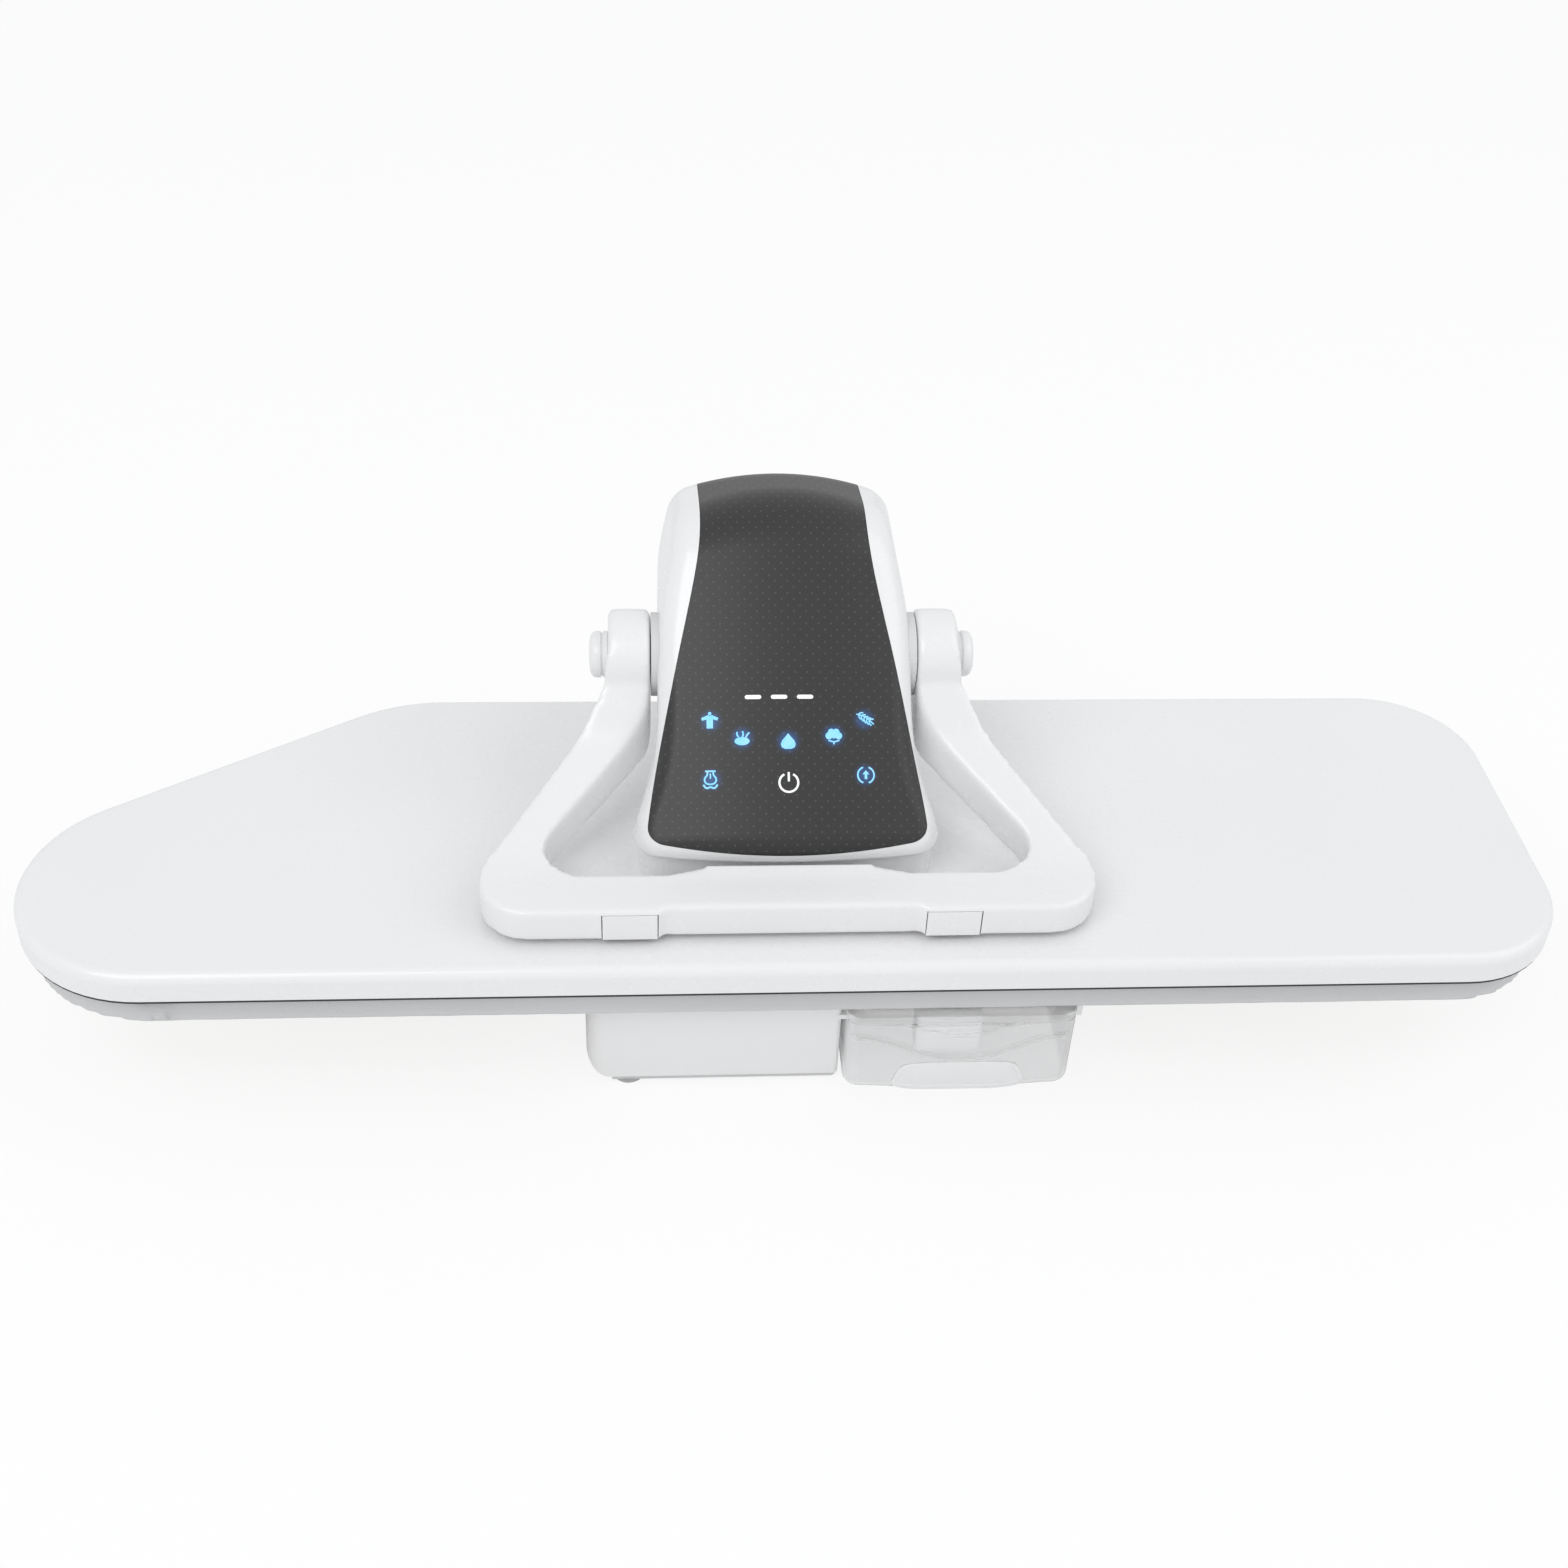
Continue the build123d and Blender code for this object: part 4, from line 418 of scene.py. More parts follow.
# %% [markdown]
# The tank is clear moulded plastic. Glass that truly bends light goes dark where its thin walls
# overlap, so the walls are a glossy white sheet that is mostly see-through where it faces the eye
# and turns milky at a glancing angle. Layer Weight gives that angle. Light that falls into the tank
# passes the walls unhindered, which Light Path arranges, so that what is inside stays bright. The
# finger pad is the same plastic with a fine frosted grain, so less is seen through it.

# %% Clear plastic


def clear_plastic(name, tone, roughness, facing, glancing):
    """A see-through plastic, given how solid it looks face on and at a glancing angle."""
    tree, shader, place = finish_sheet(name, tone, roughness)
    wander = spanned(tree, cloudy(tree, place, 40), roughness, roughness + 0.05)
    tree.links.new(wander, shader.inputs["Roughness"])
    embossed(tree, shader, cloudy(tree, place, 180, 1.0), 0.00006, 0.3)
    angle = tree.nodes.new("ShaderNodeLayerWeight")
    angle.inputs["Blend"].default_value = 0.45
    solid = spanned(tree, angle.outputs["Facing"], facing, glancing)
    path = tree.nodes.new("ShaderNodeLightPath").outputs
    lighting = maths(tree, "MAXIMUM", path["Is Shadow Ray"], path["Is Diffuse Ray"])
    looking = maths(tree, "SUBTRACT", 1.0, lighting)
    tree.links.new(maths(tree, "MULTIPLY", solid, looking), shader.inputs["Alpha"])
    shader.inputs["IOR"].default_value = plastic_ior


clear_plastic("tank_clear", (0.86, 0.863, 0.866), 0.10, 0.15, 0.80)
clear_plastic("tank_frosted", (0.88, 0.882, 0.884), 0.40, 0.80, 0.95)
print("clear plastics ready")

# %% [markdown]
# The signs are lit from behind by small lamps under the film, so each one is a little brighter where
# its lamp sits. The colour moves between the sign's own and one that is a third of the way to white.

# %% Lit signs
lamp_whitening = 0.3


def lit_sign(name, color, strength):
    """A sign that is lit from behind, a little uneven as lamps behind a film are."""
    tree, shader, place = finish_sheet(name, (0.02, 0.02, 0.02), 0.5)
    shader.inputs["Emission Strength"].default_value = strength
    paler = [c + (1 - c) * lamp_whitening for c in color]
    tinted(tree, cloudy(tree, place, 260, 1.0), color, paler, shader.inputs["Emission Color"])


lit_sign("sign_blue", (0.12, 0.60, 1.0), 1.2)
lit_sign("sign_white", (0.95, 0.97, 1.0), 1.05)
print("finishes in all", len(finishes))

# %% [markdown]
# Every CAD piece gets one finish by its name, also those that are hidden, because the press may be
# shown open or taken apart. Their meshes and places stay as they are.

# %% Which finish goes on which CAD piece
piece_finish = {
    "casing_white": "top_cover housing_shell handle_grip handle_under_cover neck_cover pivot_caps "
                    "steam_button_left steam_button_right column_cover_left column_cover_right",
    "pedestal_white": "base_shell",
    "collar_white": "pivot_collars tank_cap",
    "mechanism_grey": "tank_seat tank_outlet pump cord_gland board_posts steam_riser micro_switches "
                      "hinge_bushes pivot_bushes",
    "insulation_black": "insulating_frame",
    "panel_smoke": "panel_glass",
    "light_guide": "light_guides",
    "tank_clear": "tank_body tank_lid",
    "pad_cloth": "board_cover foam_pad",
    "fibreboard": "press_board",
    "steel": "lift_arm hinge_bracket hinge_pin hinge_clips lift_spring pressure_yoke pressure_cams "
             "pivot_shaft carrier_studs plate_springs board_screws base_screws bracket_bolts "
             "cover_screws lid_screws handle_screws",
    "painted_steel": "base_plate",
    "cast_aluminium": "heating_plate chamber_lid_left chamber_lid_right",
    "heater_sheath": "heating_element thermal_cutout",
    "foot_rubber": "rubber_feet",
    "rubber": "pump_mounts cap_seal water_hose feed_hose steam_hose",
    "circuit_green": "control_board power_board",
}
for finish, names in piece_finish.items():
    for name in names.split():
        mesh = nodes[name].data
        mesh.materials.clear()
        mesh.materials.append(finishes[finish])
print("finished", sum(len(names.split()) for names in piece_finish.values()), "CAD pieces")

# %% [markdown]
# The new pieces share a few shaping helpers, each round one bmesh operator: a box, a cut with a
# plane, a rounded edge and an extrusion. A copy of a CAD piece arrives as loose triangles, so its
# doubles are merged before anything else is done to it.

# %% Helpers for shaping
merge_distance = 0.000002
cut_tolerance = 0.000001


def cad_copy(name):
    """A bmesh of a CAD piece with its loose triangles merged."""
    shape = bmesh.new()
    shape.from_mesh(nodes[name].data)
    bmesh.ops.remove_doubles(shape, verts=shape.verts, dist=merge_distance)
    return shape


def block(shape, middle, size):
    """Add a box, and return its vertices."""
    verts = bmesh.ops.create_cube(shape, size=1)["verts"]
    bmesh.ops.scale(shape, vec=size, verts=verts)
    bmesh.ops.translate(shape, vec=middle, verts=verts)
    return verts


def cut_across(shape, axis, place, only_outline=False):
    """Cut all faces with a plane across X (0) or Z (2), and keep all or only the outline there."""
    level, normal = Vector((0, 0, 0)), Vector((0, 0, 0))
    level[axis] = place
    normal[axis] = 1
    bmesh.ops.bisect_plane(shape, geom=shape.verts[:] + shape.edges[:] + shape.faces[:],
                           dist=cut_tolerance, plane_co=level, plane_no=normal,
                           clear_inner=only_outline, clear_outer=only_outline)


def rounded(shape, edges, radius, segments):
    """Round some edges."""
    bmesh.ops.bevel(shape, geom=edges, offset=radius, affect="EDGES", segments=segments,
                    profile=0.5, material=-1)


def raised(shape, faces, move):
    """Extrude faces and move the new ones, which are returned."""
    grown = bmesh.ops.extrude_face_region(shape, geom=faces)["geom"]
    moved = [part for part in grown if isinstance(part, bmesh.types.BMVert)]
    bmesh.ops.translate(shape, verts=moved, vec=move)
    return [part for part in grown if isinstance(part, bmesh.types.BMFace)]


print("helpers ready")

# %% [markdown]
# A finished piece stays at the origin with its place in its mesh, gets one finish and rides on one
# body. Modifiers are applied as soon as they have done their work. The shading is smooth except over
# edges that are sharper than an angle.

# %% Helpers for finished pieces


def dressed(mesh, finish, sharp_angle):
    """Give a mesh its finish, and smooth shading up to the angle of its sharp edges."""
    mesh.materials.clear()
    mesh.materials.append(finishes[finish])
    mesh.shade_smooth()
    mesh.set_sharp_from_angle(angle=math.radians(sharp_angle))


def new_piece(name, shape, finish, body, sharp_angle=38):
    """Turn a bmesh into a piece of the press."""
    bmesh.ops.remove_doubles(shape, verts=shape.verts, dist=merge_distance)
    bmesh.ops.recalc_face_normals(shape, faces=shape.faces)
    mesh = bpy.data.meshes.new(name)
    shape.to_mesh(mesh)
    shape.free()
    dressed(mesh, finish, sharp_angle)
    piece = bpy.data.objects.new(name, mesh)
    bpy.context.scene.collection.objects.link(piece)
    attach(piece, body)
    return piece


def settled(piece):
    """Apply a piece's modifiers, so that nothing live is left on it."""
    ground = bpy.context.evaluated_depsgraph_get()
    mesh = bpy.data.meshes.new_from_object(piece.evaluated_get(ground))
    old = piece.data
    piece.modifiers.clear()
    piece.data = mesh
    bpy.data.meshes.remove(old)


def even_skin(piece, voxel):
    """Remesh a piece into an even skin of small quads."""
    remesh = piece.modifiers.new("even_skin", "REMESH")
    remesh.mode = "VOXEL"
    remesh.voxel_size = voxel
    settled(piece)


print("helpers ready")

# %% [markdown]
# The padded board is a foam mat on a stiff core, wrapped in silvery cloth that is gathered under
# the rim. It could be one bevelled slab, but cloth over foam is never that exact, so a slab is only
# the start. The mat's outline is cut from the CAD foam with a plane, filled and extruded. Both rims
# are rounded, and two insets underneath leave the hem and the pocket for the core.

# %% Slab of the padded board
foam_cut = 0.078
pad_low = 0.0654
pad_high = 0.0841
pad_grow = 0.0010
pad_rim = 0.006
pad_foot_rim = 0.0025
hem_width = 0.0095
core_top = 0.0723
core_step = 0.0004
outline_merge = 0.0002
level_tolerance = 0.0001
pad_outline = []


def pad_block():
    """The mat before it is blown out: a slab with a pocket for its core underneath."""
    shape = cad_copy("foam_pad")
    cut_across(shape, 2, foam_cut, only_outline=True)
    bmesh.ops.translate(shape, verts=shape.verts, vec=(0, 0, pad_low - foam_cut))
    bmesh.ops.remove_doubles(shape, verts=shape.verts, dist=outline_merge)
    for edge in shape.edges:
        pad_outline.append([Vector((vertex.co.x, vertex.co.y, 0)) for vertex in edge.verts])
    bmesh.ops.contextual_create(shape, geom=shape.edges[:])
    raised(shape, shape.faces[:], (0, 0, pad_high - pad_low))
    bmesh.ops.recalc_face_normals(shape, faces=shape.faces)
    for vertex in shape.verts:
        outward = Vector((vertex.normal.x, vertex.normal.y, 0)).normalized()
        vertex.co += outward * pad_grow
    rim = [edge for edge in shape.edges
           if all(vertex.co.z > pad_high - level_tolerance for vertex in edge.verts)]
    rounded(shape, rim, pad_rim, 4)
    floor = [face for face in shape.faces if face.calc_center_median().z < pad_low + level_tolerance]
    rounded(shape, floor[0].edges[:], pad_foot_rim, 3)
    floor = [face for face in shape.faces
             if face.normal.z < -0.99 and face.calc_center_median().z < pad_low + level_tolerance]
    bmesh.ops.inset_region(shape, faces=floor, thickness=hem_width - pad_foot_rim, use_even_offset=True)
    bmesh.ops.inset_region(shape, faces=floor, thickness=core_step, depth=-(core_top - pad_low),
                           use_even_offset=True)
    return shape


print("pad slab", round((pad_high - pad_low) * 1000, 1), "mm thick")

# %% [markdown]
# A short cloth simulation with a little air pressure inside swells the skin, as foam does under
# cloth. Left to itself it would make a balloon, so no point may move further than a cap allows.

# %% Swell of the cloth
swell_frames = 18
swell_pressure = 4.0
swell_cap = 0.0022


def blown_out(piece):
    """Blow a closed skin out with cloth simulation, and cap how far any point may move."""
    before = [vertex.co.copy() for vertex in piece.data.vertices]
    cloth = piece.modifiers.new("skin", "CLOTH")
    cloth.settings.quality = 4
    cloth.settings.mass = 0.3
    cloth.settings.use_pressure = True
    cloth.settings.uniform_pressure_force = swell_pressure
    cloth.settings.effector_weights.gravity = 0.0
    cloth.collision_settings.use_collision = False
    cloth.point_cache.frame_end = swell_frames
    scene = bpy.context.scene
    for frame_number in range(1, swell_frames + 1):
        scene.frame_set(frame_number)
    settled(piece)
    scene.frame_set(1)
    for vertex, start in zip(piece.data.vertices, before):
        move = vertex.co - start
        if move.length > swell_cap:
            vertex.co = start + move.normalized() * swell_cap


print("cloth swells", swell_cap * 1000, "mm at most")

# %% [markdown]
# Elastic gathers the cloth into a full, round lower edge, with small puckers that fade up the side.
# The puckers are a fine noise, and a coarser one leaves the rest of the side a little slack. The
# mat's height is held within the CAD cover's own, so that the hot plate still rests flat on it.

# %% Hem of the padded board
hem_top = 0.074
hem_height = 0.008
hem_reach = 0.006
hem_fill = 0.0022
hem_droop = 0.0012
hem_least = 0.02
pad_proud = 0.0012
pucker_depth = 0.0007
pucker_grain = 95
slack_depth = 0.0004
slack_grain = 22
slack_rise = 30
depth_pull = 3


def near_outline(place):
    """True where a point lies close to the mat's outline, seen from above."""
    flat = Vector((place.x, place.y, 0))
    for start, end in pad_outline:
        share = intersect_point_line(flat, start, end)[1]
        nearest = start.lerp(end, max(0.0, min(1.0, share)))
        if (nearest - flat).length < hem_reach:
            return True
    return False


def fill_hem(mesh):
    """Push the rounded lower edge out and down, where elastic gathers the cloth."""
    normals = [vertex.normal.copy() for vertex in mesh.vertices]
    for vertex, normal in zip(mesh.vertices, normals):
        outward = Vector((normal.x, normal.y, 0))
        weight = 2 * outward.length * max(0.0, -normal.z)
        if weight > hem_least and near_outline(vertex.co):
            vertex.co += outward.normalized() * (hem_fill * weight)
            vertex.co.z -= hem_droop * weight


def gathered(mesh):
    """Pucker the hem, loosen the side and hold the cloth within its box."""
    low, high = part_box("board_cover")
    for vertex in mesh.vertices:
        place = vertex.co
        hem = max(0.0, min(1.0, (hem_top - place.z) / hem_height))
        fine = Vector((place.x * pucker_grain, place.y * pucker_grain, 0.3))
        coarse = Vector((place.x * slack_grain, place.y * slack_grain, place.z * slack_rise))
        pucker = noise_mod.noise(fine) * pucker_depth * hem
        slack = noise_mod.noise(coarse) * slack_depth * (1 - hem)
        outward = Vector((place.x, place.y * depth_pull, 0)).normalized()
        place = place + outward * (pucker + slack)
        place.x = max(low.x - pad_proud, min(high.x + pad_proud, place.x))
        place.y = max(low.y - pad_proud, min(high.y + pad_proud, place.y))
        place.z = max(low.z, min(high.z - level_tolerance, place.z))
        vertex.co = place


print("hem", hem_height * 1000, "mm high")

# %% [markdown]
# Now the steps are put together: an even skin of small faces first, because cloth simulation needs
# them, then the swell, the puckers, a little easing and one subdivision.

# %% Padded board
pad_voxel = 0.0042


def padded_board():
    """The cloth-covered board that the hot plate presses on."""
    piece = new_piece("padded_board", pad_block(), "pad_cloth", "base")
    even_skin(piece, pad_voxel)
    blown_out(piece)
    gathered(piece.data)
    smooth = piece.modifiers.new("ease", "SMOOTH")
    smooth.factor = 0.5
    smooth.iterations = 3
    finer = piece.modifiers.new("finer", "SUBSURF")
    finer.levels = 1
    finer.render_levels = 1
    settled(piece)
    fill_hem(piece.data)
    dressed(piece.data, "pad_cloth", 180)
    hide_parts("board_cover", "foam_pad")
    top = max(vertex.co.z for vertex in piece.data.vertices)
    print("padded board", len(piece.data.polygons), "faces, top at", round(top, 4))


padded_board()

# %% [markdown]
# A dark strip runs round the hot plate under the cover's rim. It is painted shade: from the front it
# draws the thin dark line of the shadow gap between the cover and the pad, and without it the two
# whites run into one another. Its outline is cut from the CAD cover above it, so it follows the same
# corners. The cut also meets the inside of the cover, so only the loop that is reached from its
# leftmost point is kept.

# %% Painted shadow gap under the cover's rim
shade_strip_low = 0.0849
shade_strip_high = 0.0868
shade_strip_inset = 0.0005
shade_strip_width = 0.0019
shade_strip_cut = 0.0880


def outer_loop(shape):
    """The vertices that are joined to the leftmost one."""
    found = {min(shape.verts, key=lambda vertex: vertex.co.x)}
    waiting = list(found)
    while waiting:
        vertex = waiting.pop()
        for edge in vertex.link_edges:
            other = edge.other_vert(vertex)
            if other not in found:
                found.add(other)
                waiting.append(other)
    return found


def shadow_gap_strip():
    """A thin dark strip round the hot plate under the cover's rim, painted shade for the shadow gap."""
    shape = cad_copy("top_cover")
    cut_across(shape, 2, shade_strip_cut, only_outline=True)
    outer = outer_loop(shape)
    bmesh.ops.delete(shape, geom=[v for v in shape.verts if v not in outer], context="VERTS")
    bmesh.ops.translate(shape, verts=shape.verts, vec=(0, 0, shade_strip_low - shade_strip_cut))
    bmesh.ops.contextual_create(shape, geom=shape.edges[:])
    inner = shape.faces[:]
    bmesh.ops.inset_region(shape, faces=inner, thickness=shade_strip_inset, use_even_offset=True,
                           use_boundary=True)
    margin = [face for face in shape.faces if face not in inner]
    bmesh.ops.delete(shape, geom=margin, context="FACES")
    bmesh.ops.inset_region(shape, faces=inner, thickness=shade_strip_width, use_even_offset=True,
                           use_boundary=True)
    bmesh.ops.delete(shape, geom=inner, context="FACES")
    raised(shape, shape.faces[:], (0, 0, shade_strip_high - shade_strip_low))
    # The dark rubber finish here is painted shade: it stands in for the shadow in the gap between cover
    # and pad.
    piece = new_piece("shadow_gap_strip", shape, "rubber", "head", 40)
    print("rim seal", len(piece.data.polygons), "faces")


shadow_gap_strip()

# %% [markdown]
# The handle is one hollow moulding whose edges are all generously rounded. Bevelling the CAD mesh
# edge by edge fails where its curved sides meet, so the merged copy is remeshed into an even skin of
# small quads, and smoothing passes round every edge at once. The arms get more passes than the bar,
# because they are softer on the real one. The two pockets for the steam tabs have crisp seams, so
# they are closed with blocks before the smoothing and cut again after it.

# %% Handle
handle_voxel = 0.0014
bar_depth = 0.042
bar_passes = 5
arm_passes = 10
tab_depth = 0.0035
tab_gap = 0.0005
pocket_fill = 0.0012
pocket_foot = 0.001
cut_past = 0.004


def tab_block(shape, side, grow, front):
    """A block where a steam tab sits, a little larger than the tab."""
    low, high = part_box("steam_button_" + side)
    low = Vector((low.x - grow, front, low.z))
    high = Vector((high.x + grow, high.y + tab_depth, high.z + grow))
    return block(shape, (low + high) / 2, high - low)


def pocket_cutter(low):
    """An object of two blocks that reach out of the bar in front and below."""
    shape = bmesh.new()
    for side in ("left", "right"):
        for vertex in tab_block(shape, side, tab_gap, low.y - cut_past):
            if vertex.co.z < low.z + pocket_foot:
                vertex.co.z = low.z - cut_past
    bmesh.ops.recalc_face_normals(shape, faces=shape.faces)
    mesh = bpy.data.meshes.new("pocket_cutter")
    shape.to_mesh(mesh)
    shape.free()
    cutter = bpy.data.objects.new("pocket_cutter", mesh)
    bpy.context.scene.collection.objects.link(cutter)
    return cutter


def softened(mesh, low):
    """Smooth the whole handle, and its arms some more."""
    shape = bmesh.new()
    shape.from_mesh(mesh)
    arms = [vertex for vertex in shape.verts if vertex.co.y > low.y + bar_depth]
    for verts in [shape.verts] * bar_passes + [arms] * arm_passes:
        bmesh.ops.smooth_vert(shape, verts=verts, factor=0.5,
                              use_axis_x=True, use_axis_y=True, use_axis_z=True)
    shape.to_mesh(mesh)
    shape.free()


def handle_moulding():
    """The handle with soft edges and crisp pockets."""
    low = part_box("handle_grip")[0]
    shape = cad_copy("handle_grip")
    for side in ("left", "right"):
        tab_block(shape, side, pocket_fill, low.y)
    piece = new_piece("handle_moulding", shape, "casing_white", "handle")
    even_skin(piece, handle_voxel)
    softened(piece.data, low)
    cutter = pocket_cutter(low)
    cut = piece.modifiers.new("pockets", "BOOLEAN")
    cut.operation = "DIFFERENCE"
    cut.solver = "EXACT"
    cut.object = cutter
    settled(piece)
    bpy.data.meshes.remove(cutter.data)
    dressed(piece.data, "casing_white", 42)
    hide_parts("handle_grip")
    print("handle moulding", len(piece.data.polygons), "faces")


handle_moulding()

# %% [markdown]
# A domed cap closes each end of the pivot, with a flat ring between it and the arm. A cap is round
# about the pivot's axis, so half of its section is drawn and spun into a closed solid.

# %% Pivot caps
cap_facets = 72
cap_length = 0.0105
cap_section = ((0.0, 0.0), (0.0, 12.3), (0.4, 12.9), (2.4, 12.9), (2.8, 12.4), (3.0, 11.7),
               (3.5, 11.7), (3.7, 12.2), (4.2, 12.7), (6.2, 12.8), (7.8, 12.4), (9.0, 11.4),
               (9.8, 9.8), (10.25, 7.4), (10.45, 4.0), (10.5, 0.0))


def spun_cap(shape, centre, direction):
    """Spin the section of (distance, radius) points in mm about an axis along X."""
    verts = [shape.verts.new((centre.x + direction * along / 1000, centre.y, centre.z + radius / 1000))
             for along, radius in cap_section]
    edges = [shape.edges.new(pair) for pair in zip(verts, verts[1:])]
    bmesh.ops.spin(shape, geom=verts + edges, cent=centre, axis=(1, 0, 0), angle=math.radians(360),
                   steps=cap_facets, use_merge=True)


def pivot_caps():
    """Both domed caps, on the outer faces of the arms."""
    low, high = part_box("pivot_caps")
    middle_y = (low.y + high.y) / 2
    middle_z = (low.z + high.z) / 2
    shape = bmesh.new()
    spun_cap(shape, Vector((low.x + cap_length, middle_y, middle_z)), -1)
    spun_cap(shape, Vector((high.x - cap_length, middle_y, middle_z)), 1)
    piece = new_piece("domed_caps", shape, "casing_white", "handle", 32)
    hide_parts("pivot_caps")
    print("domed caps", len(piece.data.polygons), "faces")


pivot_caps()

# %% [markdown]
# The panel's signs are lit from behind: white bars, a white power sign and blue symbols for the
# cloths, the steam and the sound. Each sign is drawn flat, in millimetres, from strokes and filled
# shapes. A stroke is a smooth curve with a round bevel, and a filled shape is a thin tile.

# %% How a sign is drawn
tile_thick = 0.5
spot_corners = 24


def stroke(shape, points, width):
    """Add one smooth stroke through points given in mm."""
    data = bpy.data.curves.new("stroke", "CURVE")
    data.dimensions = "3D"
    data.bevel_depth = width / 2
    data.bevel_resolution = 2
    data.use_fill_caps = True
    data.resolution_u = 8
    line = data.splines.new("BEZIER")
    line.bezier_points.add(len(points) - 1)
    for knot, (u, v) in zip(line.bezier_points, points):
        knot.co = (u, v, 0)
        knot.handle_left_type = knot.handle_right_type = "AUTO"
    holder = bpy.data.objects.new("stroke", data)
    bpy.context.scene.collection.objects.link(holder)
    ground = bpy.context.evaluated_depsgraph_get()
    mesh = bpy.data.meshes.new_from_object(holder.evaluated_get(ground))
    shape.from_mesh(mesh)
    bpy.data.objects.remove(holder)
    bpy.data.curves.remove(data)
    bpy.data.meshes.remove(mesh)


def filled(shape, points):
    """Add one filled outline, as a thin tile."""
    outline = [shape.verts.new((u, v, -tile_thick / 2)) for u, v in points]
    raised(shape, [shape.faces.new(outline)], (0, 0, tile_thick))


def round_spot(shape, u, v, radius, squash=1.0):
    """Add one filled round spot."""
    angles = [math.tau * corner / spot_corners for corner in range(spot_corners)]
    filled(shape, [(u + radius * math.cos(a), v + radius * squash * math.sin(a)) for a in angles])


def arc_points(u, v, radius, start, end, count=9):
    """Points along an arc, angles in degrees."""
    angles = [math.radians(start + (end - start) * i / (count - 1)) for i in range(count)]
    return [(u + radius * math.cos(a), v + radius * math.sin(a)) for a in angles]


print("strokes and spots ready")

# %% [markdown]
# Each sign is a plain picture of what it stands for: a cloth by the thing that it is made of, steam
# by a nozzle, sound by two arcs, and the standard power sign.

# %% The signs' drawings


def shirt_sign(shape):
    """A plain shirt: hard-wearing synthetic cloth."""
    filled(shape, [(-1.0, 3.2), (-4.6, 1.6), (-4.0, 0.2), (-1.7, 0.9), (-1.7, -4.0), (1.7, -4.0),
                   (1.7, 0.9), (4.0, 0.2), (4.6, 1.6), (1.0, 3.2), (0.0, 2.7)])
    round_spot(shape, 0.0, 4.0, 0.9)


def cocoon_sign(shape):
    """A cocoon with three threads: silk."""
    round_spot(shape, 0.0, -1.6, 4.0, 0.55)
    stroke(shape, [(-1.8, 0.6), (-2.6, 1.8), (-2.6, 3.4)], 0.9)
    stroke(shape, [(0.2, 0.6), (0.6, 2.0), (0.2, 3.8)], 0.9)
    stroke(shape, [(2.0, 0.4), (2.8, 1.8), (3.9, 3.0)], 0.9)


def fleece_sign(shape):
    """A tuft of fleece: wool."""
    filled(shape, [(0.0, 4.4), (1.4, 2.6), (3.2, 0.6), (4.0, -1.4), (3.4, -3.2), (1.6, -4.0),
                   (-1.6, -4.0), (-3.4, -3.2), (-4.0, -1.4), (-3.2, 0.6), (-1.4, 2.6)])


def boll_sign(shape):
    """A boll with round lobes on a short stalk: cotton."""
    for u, v, radius in ((-2.6, 0.0, 1.9), (-1.3, 2.0, 1.8), (1.3, 2.0, 1.8), (2.6, 0.0, 1.9),
                         (0.0, 0.6, 2.0)):
        round_spot(shape, u, v, radius)
    stroke(shape, [(-3.0, -2.4), (0.0, -3.2), (3.0, -2.4)], 0.8)
    stroke(shape, [(0.0, -3.2), (0.0, -4.6)], 0.8)


def leaf_sign(shape):
    """A slanting blade with short ribs: linen."""
    stroke(shape, [(-4.6, 2.8), (0.0, 1.4), (4.8, -2.6)], 0.7)
    for along in range(5):
        share = along / 5
        u = -3.4 + 7.0 * share
        v = 2.6 - 3.8 * share - 0.6 * math.sin(share * math.pi)
        stroke(shape, [(u, v), (u + 0.4, v - 1.5), (u + 1.3, v - 2.6)], 0.75)
        stroke(shape, [(u, v), (u + 1.2, v + 0.9), (u + 2.6, v + 0.9)], 0.75)


def steam_sign(shape):
    """A nozzle with two rising curls: steam."""
    stroke(shape, [(-2.8, 4.6), (2.8, 4.6)], 0.9)
    stroke(shape, [(-1.5, 4.2), (-1.7, 2.6), (-3.0, 0.6), (-2.6, -1.4), (0.0, -2.4), (2.6, -1.4),
                   (3.0, 0.6), (1.7, 2.6), (1.5, 4.2)], 0.9)
    stroke(shape, [(0.0, 3.4), (0.0, 0.6)], 0.8)
    stroke(shape, [(-3.8, -2.6), (-2.0, -4.4), (0.0, -3.9), (2.0, -4.4), (3.8, -2.6)], 1.0)


def sound_sign(shape):
    """Two arcs round a small pointer: sound prompts."""
    stroke(shape, arc_points(0, 0, 4.4, 110, 250), 0.9)
    stroke(shape, arc_points(0, 0, 4.4, -70, 70), 0.9)
    filled(shape, [(0.0, 2.6), (1.9, 0.4), (0.7, 0.4), (0.7, -2.2), (-0.7, -2.2), (-0.7, 0.4),
                   (-1.9, 0.4)])


def power_sign(shape):
    """A broken ring with a bar in its gap: the standard power sign."""
    stroke(shape, arc_points(0, 0, 5.0, 118, 422, 17), 1.15)
    stroke(shape, [(0.0, 5.6), (0.0, 0.6)], 1.15)


def bar_sign(shape):
    """A short white bar with round ends."""
    filled(shape, arc_points(-3.3, 0, 1.1, 90, 270) + arc_points(3.3, 0, 1.1, -90, 90))


blue_drawings = (shirt_sign, cocoon_sign, fleece_sign, boll_sign, leaf_sign, steam_sign, sound_sign)
print("drawings", len(blue_drawings) + 2)

# %% [markdown]
# A drawing is flattened and laid on the slope, and then every point of it is dropped onto the curved
# glass with a ray. So the signs follow the glass's crown and stand only about 0.1 mm proud.

